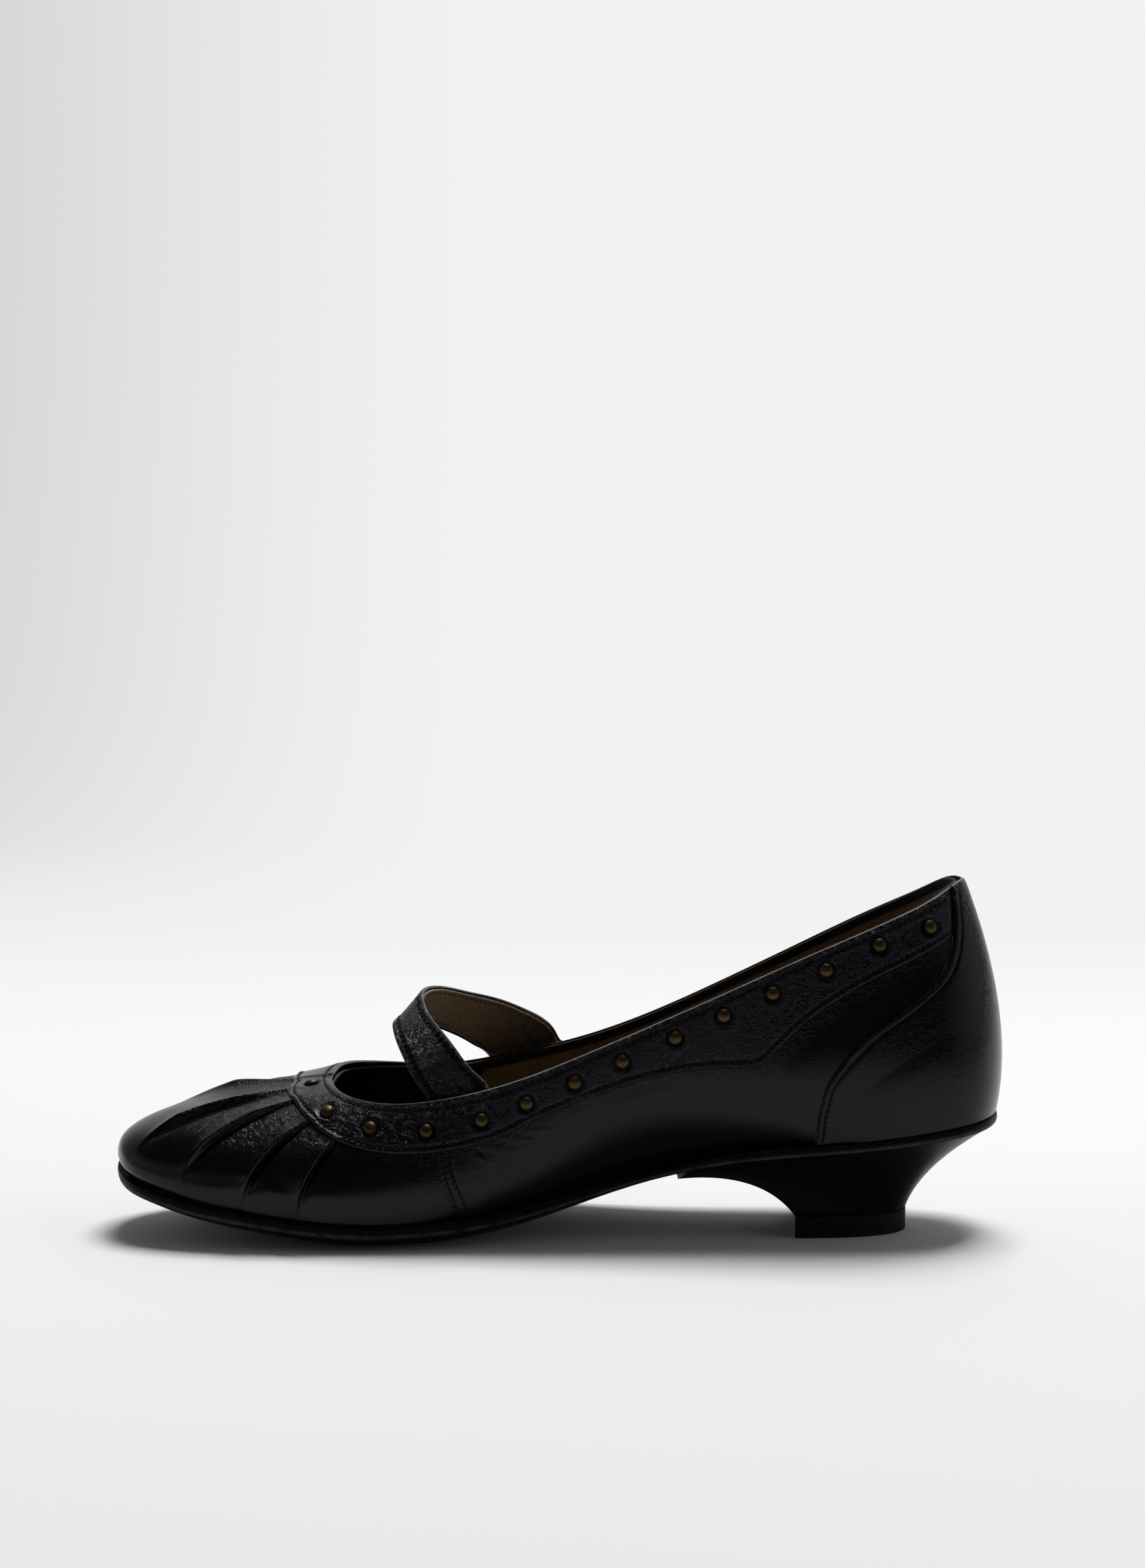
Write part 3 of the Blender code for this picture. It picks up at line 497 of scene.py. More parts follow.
@dataclass(frozen=True)
class Stitching:
    """A row of stitches: length of one step, thread size, and the channel that it pulls into the leather."""

    pitch: float = 1.75
    length: float = 1.25
    thread: float = 0.2
    channel: float = 0.30
    width: float = 0.45

    def relief(self, line: Line, points: Array) -> Array:
        """Height that the row adds to a leather surface: a channel, puckered between the stitches.

        Args:
            line: where the row runs.
            points: places in millimetres.

        Returns:
            Millimetres, below 0 in the channel.
        """
        distance, along = line.near(points, 4.0)
        pucker = 0.20 * np.cos(2 * math.pi * (along - 0.6) / self.pitch) * hump(distance, 1.3 * self.width)
        return self.channel * (-hump(distance, self.width) - pucker)


STITCHING = Stitching()


@dataclass(frozen=True)
class Crease:
    """A soft fold, given from one (u, t) to another, with its width and depth in millimetres."""

    start: tuple[float, float]
    end: tuple[float, float]
    width: float
    depth: float
    bow: float = 0.0

    def relief(self, points: Array) -> Array:
        """Height that the crease adds: a trough with a low ridge beside it, fading at both ends.

        Args:
            points: places in millimetres.

        Returns:
            Millimetres, below 0 in the trough.
        """
        share = np.linspace(0, 1, 24)
        u = self.start[0] + (self.end[0] - self.start[0]) * share
        t = self.start[1] + (self.end[1] - self.start[1]) * share + self.bow * np.sin(math.pi * share)
        line = LAST.point(u, t)
        reach = 4 * self.width
        total = np.zeros(points.shape[:-1])
        inside = ((points > line.min(0) - reach) & (points < line.max(0) + reach)).all(axis=-1)
        away = np.linalg.norm(points[inside][:, None] - line[None], axis=-1)
        nearest = away.argmin(axis=1)
        distance, at = away.min(axis=1), share[nearest]
        fade = np.sin(math.pi * np.clip(at, 0.02, 0.98)) ** 0.7
        total[inside] = self.depth * fade * (0.45 * hump(distance - 2.0 * self.width, self.width)
                                             - hump(distance, self.width))
        return total


def unevenness(points: Array, size: float, seed: float) -> Array:
    """A slow, smooth waviness between -1 and 1, about size millimetres from crest to crest.

    Args:
        points: places in millimetres.
        size: millimetres from crest to crest.
        seed: shifts the waves.

    Returns:
        A value for each place.
    """
    x, y, z = np.moveaxis(points * (2 * math.pi / size), -1, 0)
    waves = (np.sin(x + 0.6 * y + seed) + np.sin(0.8 * y - 0.7 * z + 1.7 * seed)
             + np.sin(0.9 * z + 0.5 * x + 2.3 * seed) + np.sin(1.7 * x - 1.3 * z + 3.1 * seed) * 0.6)
    return waves / 3.6


# ---------------- finishes


class Tree:
    """Short calls for making shader nodes in one node tree."""

    def __init__(self, tree: bpy.types.NodeTree) -> None:
        """Keeps the tree."""
        self.tree = tree

    def add(self, kind: str, settings: dict | None = None, **inputs: object) -> Node:
        """A new node.

        Args:
            kind: the node's class, without its ShaderNode prefix where it has one.
            settings: attributes of the node itself.
            inputs: sockets by name, with _ for a space, each a value or another node's output.

        Returns:
            The node.
        """
        node = self.tree.nodes.new(kind if kind.startswith("Node") else "ShaderNode" + kind)
        for name, value in (settings or {}).items():
            setattr(node, name, value)
        for name, value in inputs.items():
            key = int(name[1:]) if name[0] == "i" and name[1:].isdigit() else name.replace("_", " ")
            self.put(node.inputs[key], value)
        return node

    def put(self, socket: Socket, value: object) -> None:
        """Sets a socket to a value or links an output to it.

        Args:
            socket: a node's input.
            value: a value, or another node's output.
        """
        if isinstance(value, Socket):
            self.tree.links.new(value, socket)
        else:
            socket.default_value = value

    def math(self, operation: str, *values: object) -> Socket:
        """Output of a Math node."""
        inputs = {f"i{n}": value for n, value in enumerate(values)}
        return self.add("Math", {"operation": operation}, **inputs).outputs[0]

    def times(self, first: object, second: object) -> Socket:
        """The product."""
        return self.math("MULTIPLY", first, second)

    def scaled(self, value: object, factor: object, more: object) -> Socket:
        """A value times a factor, and something more."""
        return self.math("MULTIPLY_ADD", value, factor, more)

    def mix(self, share: object, first: object, second: object) -> Socket:
        """Output of a colour Mix node.

        Args:
            share: 0 for the first, 1 for the second.
            first: a colour.
            second: a colour.

        Returns:
            The mixed colour.
        """
        node = self.add("Mix", {"data_type": "RGBA"})
        self.put(node.inputs[0], share)
        self.put(node.inputs[6], first)
        self.put(node.inputs[7], second)
        return node.outputs[2]

    def span(self, value: object, low: float, high: float, to_low: float = 0.0,
             to_high: float = 1.0) -> Socket:
        """A value moved from one range to another, smooth at both ends.

        Args:
            value: what is moved.
            low: where the range starts.
            high: where it ends.
            to_low: what low becomes.
            to_high: what high becomes.

        Returns:
            The moved value.
        """
        node = self.add("MapRange", {"interpolation_type": "SMOOTHSTEP"})
        for number, item in enumerate((value, low, high, to_low, to_high)):
            self.put(node.inputs[number], item)
        return node.outputs[0]

    def noise(self, place: object, scale: float, detail: float = 2.0, rough: float = 0.5,
              twist: float = 0.0) -> Socket:
        """Factor of a Noise texture at so many features a metre."""
        node = self.add("TexNoise", Vector=place, Scale=scale, Detail=detail, Roughness=rough, Distortion=twist)
        return node.outputs[0]


def effect(name: str, inputs: dict[str, float], outputs: Sequence[str],
           build: Callable[[Tree, Node], Sequence[Socket]]) -> bpy.types.NodeTree:
    """A shader node group with named sockets.

    Args:
        name: the group's name.
        inputs: default of each plain input, beside Place.
        outputs: names of the outputs, all plain values.
        build: makes the nodes and gives the sockets to put out, in order.

    Returns:
        The group's node tree.
    """
    group = bpy.data.node_groups.new(name, "ShaderNodeTree")
    group.interface.new_socket("Place", in_out="INPUT", socket_type="NodeSocketVector")
    for label, default in inputs.items():
        group.interface.new_socket(label, in_out="INPUT", socket_type="NodeSocketFloat").default_value = default
    for label in outputs:
        group.interface.new_socket(label, in_out="OUTPUT", socket_type="NodeSocketFloat")
    tree = Tree(group)
    start, end = tree.add("NodeGroupInput"), tree.add("NodeGroupOutput")
    for socket, made in zip(end.inputs, build(tree, start)):
        group.links.new(made, socket)
    return group


def build_grain(tree: Tree, start: Node) -> list[Socket]:
    """Pebbled leather grain: small cells, pores between them, and fine wrinkles where the skin is worked.

    Args:
        tree: the group's nodes.
        start: the group's inputs.

    Returns:
        Height and tone.
    """
    place, size, wrinkle = start.outputs["Place"], start.outputs["Size"], start.outputs["Wrinkle"]
    drift = tree.add("TexNoise", Vector=place, Scale=420.0, Detail=1.0)
    moved = tree.add("VectorMath", {"operation": "MULTIPLY_ADD"}, i0=drift.outputs[1],
                     i1=(0.0011, 0.0011, 0.0011), i2=place).outputs[0]
    cells = tree.add("TexVoronoi", {"feature": "DISTANCE_TO_EDGE"}, Vector=moved)
    tree.put(cells.inputs["Scale"], tree.math("DIVIDE", 1000.0, size))
    pebble = tree.span(cells.outputs[0], 0.0, 0.42)
    fine = tree.noise(place, 3600.0, 2.0)
    folds = tree.add("TexNoise", Vector=moved, Scale=520.0, Detail=3.0, Roughness=0.6, Distortion=1.2)
    fold = tree.math("ABSOLUTE", tree.math("SUBTRACT", folds.outputs[0], 0.5))
    fold = tree.times(tree.span(fold, 0.0, 0.11), wrinkle)
    height = tree.math("ADD", tree.times(pebble, 0.55), tree.times(fine, 0.25))
    height = tree.math("ADD", height, tree.times(fold, 2.2))
    blotch = tree.times(tree.noise(place, 95.0, 4.0), 0.5)
    return [height, tree.math("ADD", tree.times(pebble, 0.5), blotch)]


def build_wear(tree: Tree, start: Node) -> list[Socket]:
    """Edge wear: a mask that breaks up along an edge, and fine scuffs away from it.

    Args:
        tree: the group's nodes.
        start: the group's inputs.

    Returns:
        Mask and scuff.
    """
    place, edge = start.outputs["Place"], start.outputs["Edge"]
    patchy = tree.noise(place, 260.0, 5.0, 0.65)
    mask = tree.span(tree.scaled(patchy, 0.9, tree.math("SUBTRACT", edge, 0.45)), 0.35, 0.75)
    mask = tree.times(mask, tree.span(edge, 0.02, 0.3))
    long = tree.add("Mapping", Vector=place, Scale=(0.25, 1.0, 1.6)).outputs[0]
    scuff = tree.span(tree.noise(long, 330.0, 6.0, 0.7, 0.6), 0.60, 0.78)
    return [mask, scuff]


def build_cloudiness(tree: Tree, start: Node) -> list[Socket]:
    """Slow changes of tone over a piece, as polish and handling leave.

    Args:
        tree: the group's nodes.
        start: the group's inputs.

    Returns:
        Slow and quick changes.
    """
    place = start.outputs["Place"]
    slow = tree.noise(place, 38.0, 3.0, 0.55, 0.4)
    quick = tree.noise(place, 210.0, 4.0, 0.6)
    return [tree.span(slow, 0.3, 0.7), tree.span(quick, 0.3, 0.7)]


GRAIN = effect("leather_grain", {"Size": 0.9, "Wrinkle": 0.2}, ("Height", "Tone"), build_grain)
WEAR = effect("edge_wear", {"Edge": 0.0}, ("Mask", "Scuff"), build_wear)
CLOUD = effect("cloudiness", {}, ("Slow", "Quick"), build_cloudiness)
Colour = tuple[float, float, float]


def opaque(colour: Colour, lighter: float = 1.0) -> tuple[float, float, float, float]:
    """The colour with full alpha, so many times lighter."""
    return (*(lighter * c for c in colour), 1.0)


class Dressing(Tree):
    """A material in the making: its nodes, its shader, and Object coordinates as place."""

    def __init__(self, name: str) -> None:
        """A new material with nothing but its shader.

        Args:
            name: the material's name.
        """
        self.made = bpy.data.materials.new(name)
        self.made.use_nodes = True
        super().__init__(self.made.node_tree)
        self.shader = self.tree.nodes["Principled BSDF"]
        self.place = self.add("TexCoord").outputs["Object"]

    def mark(self, name: str) -> Socket:
        """The piece's own painted mask called name, 0 where it has none."""
        return self.add("Attribute", {"attribute_name": name, "attribute_type": "GEOMETRY"}).outputs["Fac"]

    def group(self, group: bpy.types.NodeTree, **inputs: object) -> bpy.types.bpy_prop_collection:
        """Outputs of a shared effect, laid on Object coordinates."""
        return self.add("Group", {"node_tree": group}, Place=self.place, **inputs).outputs

    def plain(self, **values: object) -> None:
        """Sets the shader's own sockets, by name with _ for a space."""
        for name, value in values.items():
            self.put(self.shader.inputs[name.replace("_", " ")], value)

    def finish(self, colour: Socket, rough: Socket, height: Socket, depth: float = 1.0) -> Material:
        """Joins what varies over the surface to the shader.

        Args:
            colour: base colour.
            rough: roughness.
            height: relief that is too fine to be modelled.
            depth: millimetres that a height of 1 stands for.

        Returns:
            The material.
        """
        relief = self.add("Bump", Strength=1.0, Distance=depth * MM, Height=height).outputs[0]
        self.plain(Base_Color=colour, Roughness=rough, Normal=relief)
        return self.made


@dataclass(frozen=True)
class Finish:
    """What every finish shares: its name and the record's material slot."""

    name: str
    slot: str


@dataclass(frozen=True)
class Leather(Finish):
    """Black full-grain leather, with grain, polish clouds, pale fibres on its cut edges, and painted shade in its
    grooves.
    """

    dark: Colour = (0.0010, 0.0009, 0.0017)
    light: Colour = (0.0026, 0.0023, 0.0040)
    fibre: Colour = (0.19, 0.185, 0.18)
    rough: float = 0.18
    grain_size: float = 0.85
    grain_depth: float = 0.022
    gloss: float = 0.215
    tint: Colour = (0.93, 0.90, 1.0)

    def make(self) -> Material:
        """The material.

        Returns:
            The material.
        """
        tree = Dressing(self.name)
        wrinkle = tree.mark("wrinkle")
        grain = tree.group(GRAIN, Size=self.grain_size, Wrinkle=wrinkle)
        wear = tree.group(WEAR, Edge=tree.mark("edge"))
        cloud = tree.group(CLOUD)
        tone = tree.scaled(grain["Tone"], 0.6, tree.times(cloud["Slow"], 0.4))
        base = tree.mix(tone, opaque(self.dark), opaque(self.light))
        # Painted shade in grooves and seams: a darker colour, and near-black metal that takes out the reflection.
        groove_shade_and_patina = tree.times(tree.mark("groove_shade_and_patina"), 0.85)
        base = tree.mix(groove_shade_and_patina, base, opaque(self.dark, 0.25))
        rough = tree.scaled(cloud["Slow"], 0.035, self.rough - 0.02)
        for mask, rougher in ((cloud["Quick"], 0.03), (wrinkle, 0.06), (wear["Mask"], 0.35), (groove_shade_and_patina, 0.3)):
            rough = tree.scaled(mask, rougher, rough)
        tree.plain(Metallic=groove_shade_and_patina, Specular_IOR_Level=self.gloss, Specular_Tint=opaque(self.tint))
        depth = tree.scaled(wrinkle, 2.4 * self.grain_depth, 0.5 * self.grain_depth)
        height = tree.scaled(grain["Height"], depth, tree.mark("swell"))
        return tree.finish(tree.mix(wear["Mask"], base, opaque(self.fibre)), rough, height)


@dataclass(frozen=True)
class LiningLeather(Finish):
    """Matt tan lining, napped, and darkened by a mask of real wear and painted shade."""

    tan: Colour = (0.165, 0.108, 0.054)
    wear_and_shade: Colour = (0.040, 0.026, 0.013)
    cut: Colour = (0.30, 0.25, 0.19)
    rough: float = 0.82

    def make(self) -> Material:
        """The material.

        Returns:
            The material.
        """
        tree = Dressing(self.name)
        cloud, wear = tree.group(CLOUD), tree.group(WEAR, Edge=tree.mark("edge"))
        nap = tree.noise(tree.place, 1500.0, 4.0, 0.65, 0.5)
        speckle = tree.span(tree.noise(tree.place, 620.0, 3.0, 0.6), 0.35, 0.7)
        # Darker where the mask says: real wear on the sock, painted shade at the strap's end, and lower down on the
        # quarter lining.
        darker_share = tree.scaled(tree.mark("wear_and_shade"), 0.75, tree.times(cloud["Slow"], 0.35))
        base = tree.mix(darker_share, opaque(self.tan), opaque(self.wear_and_shade))
        base = tree.mix(tree.times(speckle, 0.35), base, opaque(self.tan, 1.35))
        tree.plain(Specular_IOR_Level=0.3, Sheen_Weight=0.12, Sheen_Roughness=0.5)
        return tree.finish(tree.mix(wear["Mask"], base, opaque(self.cut)),
                           tree.scaled(nap, 0.14, self.rough - 0.07),
                           tree.scaled(speckle, 0.6, nap), 0.10)


@dataclass(frozen=True)
class SoleLeather(Finish):
    """Black waxed sole leather: streaked round its edge, rubbed brown where it treads."""

    black: Colour = (0.0018, 0.0016, 0.0018)
    brown: Colour = (0.050, 0.036, 0.024)
    pale: Colour = (0.030, 0.029, 0.028)
    rough: float = 0.42
    gloss: float = 0.05

    def make(self) -> Material:
        """The material.

        Returns:
            The material.
        """
        tree = Dressing(self.name)
        wear, cloud = tree.group(WEAR, Edge=tree.mark("edge")), tree.group(CLOUD)
        tall = tree.add("Mapping", Vector=tree.place, Scale=(1.0, 1.0, 0.12)).outputs[0]
        streak = tree.noise(tall, 850.0, 4.0, 0.6)
        rubbed = tree.span(tree.noise(tree.place, 120.0, 6.0, 0.65), 0.34, 0.62)
        tread = tree.times(tree.mark("tread"), rubbed)
        base = opaque(self.black)
        for mask, share, colour in ((tree.span(streak, 0.45, 0.75), 0.45, opaque(self.black, 2.2)),
                                    (tread, 0.9, opaque(self.brown)), (wear["Scuff"], 0.08, opaque(self.pale))):
            base = tree.mix(tree.times(mask, share), base, colour)
        rough = tree.scaled(cloud["Quick"], 0.12, self.rough - 0.06)
        tree.plain(Specular_IOR_Level=self.gloss)
        return tree.finish(tree.mix(wear["Mask"], base, opaque(self.pale)),
                           tree.scaled(tread, 0.25, rough),
                           tree.scaled(wear["Scuff"], -0.6, streak), 0.08)


@dataclass(frozen=True)
class HardRubber(Finish):
    """Matt hard rubber of the top piece, scuffed near the floor."""

    black: Colour = (0.0030, 0.0030, 0.0030)
    dusty: Colour = (0.0110, 0.0107, 0.0100)
    rough: float = 0.6
    gloss: float = 0.16

    def make(self) -> Material:
        """The material.

        Returns:
            The material.
        """
        tree = Dressing(self.name)
        wear, cloud = tree.group(WEAR, Edge=tree.mark("edge")), tree.group(CLOUD)
        base = tree.mix(tree.times(cloud["Quick"], 0.5), opaque(self.black), opaque(self.black, 1.7))
        dust = tree.math("MAXIMUM", wear["Mask"], tree.times(wear["Scuff"], 0.3))
        tree.plain(Specular_IOR_Level=self.gloss)
        return tree.finish(tree.mix(dust, base, opaque(self.dusty)),
                           tree.scaled(cloud["Slow"], 0.15, self.rough),
                           tree.noise(tree.place, 1900.0, 3.0), 0.05)


@dataclass(frozen=True)
class AntiqueBrass(Finish):
    """Brass studs, bright on the crown and darkened round the foot."""

    bright: Colour = (0.066, 0.045, 0.020)
    dull: Colour = (0.017, 0.012, 0.006)
    rough: float = 0.34

    def make(self) -> Material:
        """The material.

        Returns:
            The material.
        """
        tree = Dressing(self.name)
        spots = tree.span(tree.noise(tree.place, 900.0, 4.0, 0.6), 0.45, 0.75)
        dark = tree.math("MAXIMUM", tree.mark("groove_shade_and_patina"), tree.times(spots, 0.35))
        dark = tree.scaled(tree.group(CLOUD)["Slow"], 0.2, dark)
        tree.plain(Metallic=1.0)
        return tree.finish(tree.mix(dark, opaque(self.bright), opaque(self.dull)),
                           tree.scaled(dark, 0.22, self.rough),
                           tree.noise(tree.place, 2600.0, 3.0), 0.02)


@dataclass(frozen=True)
class Thread(Finish):
    """Waxed sewing thread, twisted."""

    colour: Colour = (0.0018, 0.0016, 0.0022)
    rough: float = 0.45
    gloss: float = 0.14

    def make(self) -> Material:
        """The material.

        Returns:
            The material.
        """
        tree = Dressing(self.name)
        twist = tree.noise(tree.place, 5200.0, 2.0)
        tree.plain(Specular_IOR_Level=self.gloss)
        return tree.finish(tree.mix(tree.span(twist, 0.35, 0.7), opaque(self.colour), opaque(self.colour, 2.4)),
                           tree.scaled(twist, 0.2, self.rough), twist, 0.05)


class Stock(Enum):
    """The finishes that the shoe is cut from."""

    UPPER = Leather("upper_black_leather", "upper_leather")
    BAND = Leather("band_black_leather", "band_leather", grain_size=0.8, grain_depth=0.034, rough=0.165)
    COUNTER = Leather("counter_black_leather", "counter_leather")
    STRAP = Leather("strap_black_leather", "strap_leather", grain_depth=0.085, rough=0.19, gloss=0.29)
    FACING = Leather("facing_black_leather", "band_leather", rough=0.55, fibre=(0.16, 0.13, 0.10))
    HEEL = Leather("heel_black_leather", "heel_covering", rough=0.30, grain_depth=0.012, gloss=0.07)
    LINING = LiningLeather("tan_lining", "insole_leather")
    SOCK = LiningLeather("tan_sock", "insole_leather", rough=0.7)
    SOLE = SoleLeather("black_sole_leather", "outsole_leather")
    TOP_PIECE = HardRubber("black_hard_rubber", "top_piece_rubber")
    BRASS = AntiqueBrass("antique_brass", "stud_brass")
    THREAD = Thread("black_thread", "band_leather")
    BROWN_THREAD = Thread("brown_thread", "insole_leather", colour=(0.012, 0.008, 0.005))


MATERIALS = {stock: stock.value.make() for stock in Stock}


# ---------------- making pieces


def new_primitive(add: Callable[..., set], name: str, **settings: object) -> Piece:
    """Adds a primitive by its operator with nothing else selected, and names it.

    Args:
        add: the primitive's operator.
        name: the piece's name.
        settings: the operator's settings.

    Returns:
        The piece.
    """
    bpy.ops.object.select_all(action="DESELECT")
    add(**settings)
    made = bpy.context.active_object
    made.name = made.data.name = name
    return made


def select_only(piece: Piece) -> None:
    """Makes the piece the only selected one, and the active one.

    Args:
        piece: what is worked on next.
    """
    bpy.ops.object.select_all(action="DESELECT")
    piece.select_set(True)
    bpy.context.view_layer.objects.active = piece


def corners(piece: Piece) -> Array:
    """The piece's points in its own metres, one row each."""
    return np.array([v.co[:] for v in piece.data.vertices])


def paint(piece: Piece, mark: str, values: Array) -> None:
    """Keeps a mask on the piece, one value for each point."""
    piece.data.attributes.new(mark, "FLOAT", "POINT").data.foreach_set("value", values.astype(np.float32))


def in_edit_mode(piece: Piece, *steps: Callable[[], set]) -> None:
    """Runs edit-mode operators on the whole of a piece.

    Args:
        piece: what is worked on.
        steps: the operators, in order.
    """
    select_only(piece)
    bpy.ops.object.mode_set(mode="EDIT")
    bpy.ops.mesh.select_all(action="SELECT")
    for step in steps:
        step()
    bpy.ops.object.mode_set(mode="OBJECT")


def merge_and_turn_out() -> set:
    """Merges doubled points and turns every face outwards.

    Returns:
        What the last operator says.
    """
    bpy.ops.mesh.remove_doubles(threshold=2e-6)
    bpy.ops.mesh.dissolve_degenerate(threshold=1e-7)
    return bpy.ops.mesh.normals_make_consistent(inside=False)


def swept(name: str, rings: Array, around: bool, marks: dict[str, Array]) -> Piece:
    """A closed skin from rings of points, made of a grid that is drawn into place and sewn up.

    Args:
        name: the piece's name.
        rings: millimetre points, one ring after another; each ring closes on itself.
        around: whether the last ring joins the first. If not, the end rings are flat and close themselves.
        marks: painted masks, one value for each point of the rings.

    Returns:
        The piece.
    """
    def closed(values: Array) -> Array:
        """The values with the first ones once more at the end."""
        values = np.hstack([values, values[:, :1]])
        return np.vstack([values, values[:1]]) if around else values

    points = closed(placed(rings))
    columns, rows = points.shape[:2]
    piece = new_primitive(bpy.ops.mesh.primitive_grid_add, name, x_subdivisions=columns - 1,
                          y_subdivisions=rows - 1, size=2)
    share = (corners(piece)[:, :2] + 1) / 2
    i, j = np.rint(share * (columns - 1, rows - 1)).astype(int).T
    piece.data.vertices.foreach_set("co", points[i, j].ravel())
    for mark, values in marks.items():
        paint(piece, mark, closed(values)[i, j])
    piece.data.update()
    in_edit_mode(piece, merge_and_turn_out)
    piece.data.calc_loop_triangles()
    faces = corners(piece)[np.array([triangle.vertices[:] for triangle in piece.data.loop_triangles])]
    if np.einsum("ij,ij->", faces[:, 0], np.cross(faces[:, 1], faces[:, 2])) < 0:
        in_edit_mode(piece, bpy.ops.mesh.flip_normals)
    return piece


def dress(piece: Piece, stock: Stock, *nodes: str, crisp: float = 50.0) -> Piece:
    """Shades and dresses a finished piece, and puts it on the shoe.

    Args:
        piece: the finished mesh.
        stock: the finish that it is cut from.
        nodes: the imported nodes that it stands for.
        crisp: edges over this many degrees stay sharp.

    Returns:
        The piece.
    """
    select_only(piece)
    bpy.ops.object.shade_smooth_by_angle(angle=math.radians(crisp))
    piece.data.materials.clear()
    piece.data.materials.append(MATERIALS[stock])
    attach(piece, "root")
    if nodes:
        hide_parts(*nodes)
    piece.data.calc_loop_triangles()
    log.info("%s: %d triangles, for %s", piece.name, len(piece.data.loop_triangles), ", ".join(nodes) or "detail")
    return piece


def copies(name: str, master: Piece, middles: Array, bases: Array) -> Piece:
    """One joined mesh of a small master shape, copied to many places.

    Args:
        name: the joined piece's name.
        master: the shape, about the origin in millimetres; it is removed.
        middles: where each copy goes, in millimetres from the toe tip.
        bases: for each copy, its three axes as rows.

    Returns:
        The joined piece.
    """
    mesh = master.data
    points = corners(master)
    faces = [tuple(face.vertices) for face in mesh.polygons]
    marks = {a.name: np.array([item.value for item in a.data]) for a in mesh.attributes
             if a.data_type == "FLOAT" and a.domain == "POINT"}
    every = placed(np.einsum("pk,nkj->npj", points, bases) + middles[:, None])
    joined = bpy.data.meshes.new(name)
    shift = len(points)
    joined.from_pydata(every.reshape(-1, 3).tolist(), [],
                       [tuple(v + n * shift for v in face) for n in range(len(middles)) for face in faces])
    piece = bpy.data.objects.new(name, joined)
    for mark, values in marks.items():
        paint(piece, mark, np.tile(values, len(middles)))
    bpy.context.scene.collection.objects.link(piece)
    bpy.data.objects.remove(master)
    return piece


def axes_from(run: Array, normal: Array) -> Array:
    """For each row, three unit axes as rows: along the run, across it, and near the normal."""
    run, side = unit(run), unit(np.cross(normal, unit(run)))
    return np.stack([run, side, np.cross(run, side)], axis=1)


def sew(name: str, rows: Sequence[Line], stock: Stock = Stock.THREAD) -> Piece:
    """Stitches along lines, one joined piece.

    Args:
        name: the piece's name.
        rows: the lines, each at the height where the thread lies.
        stock: the thread.

    Returns:
        The piece.
    """
    master = new_primitive(bpy.ops.mesh.primitive_uv_sphere_add, name + "_one", segments=6, ring_count=5,
                           radius=1.0, rotation=(0.0, math.pi / 2, 0.0))
    bpy.ops.object.transform_apply(location=False, rotation=True, scale=False)
    master.scale = (STITCHING.length / 2, 1.15 * STITCHING.thread, STITCHING.thread)
    bpy.ops.object.transform_apply(location=False, rotation=False, scale=True)
    parts = [row.stitches(STITCHING.pitch) for row in rows]
    middle, run, normal = (np.concatenate(group) for group in zip(*parts))
    return dress(copies(name, master, middle, axes_from(run, normal)), stock, crisp=180.0)


def across(rings: Array) -> Array:
    """Rings right across a flat piece, from half rings that run from its middle line over the rim and back."""
    near = np.arange(len(rings) // 2 + 1)
    return np.hstack([rings[near], rings[-near][:, ::-1]])


def close_ends(outer: Array, inner: Array, step: int) -> None:
    """Draws both sides of a slab together along its edges and ends; the inner side has every step-th row.

    Args:
        outer: the outer face's points, changed in place.
        inner: the inner face's, changed in place.
        step: outer rows for each inner one.
    """
    inner[:, 0], inner[:, -1] = outer[:, 0], outer[:, -1]
    count = outer.shape[1]
    places = np.arange(0, count, step)
    places[-1] = count - 1
    nearest = places[np.abs(np.arange(count)[:, None] - places).argmin(axis=1)]
    for end in (0, -1):
        inner[end] = outer[end, places]
        outer[end] = outer[end, nearest]


def slab_rings(outer: Array, inner: Array) -> Array:
    """Rings round a sheet: along its outer face, and back along an inner one that may be coarser."""
    return np.hstack([outer, inner[:, -2:0:-1]])


def carried_round(rings: Array, held: dict[str, Array], shown: dict[str, Array]) -> dict[str, Array]:
    """Masks of a sheet's outer face, given a value for each point of its rings.

    Args:
        rings: the rings round the sheet.
        held: masks that keep their last value on the inner face.
        shown: masks that are 0 on the inner face.

    Returns:
        All the masks, shaped as the rings are.
    """
    def carried(values: Array, mode: str) -> Array:
        """The values with more columns, as the mode says."""
        return np.pad(values, ((0, 0), (0, rings.shape[1] - values.shape[1])), mode=mode)

    return ({mark: carried(values, "edge") for mark, values in held.items()}
            | {mark: carried(values, "constant") for mark, values in shown.items()})


# ---------------- the shoe


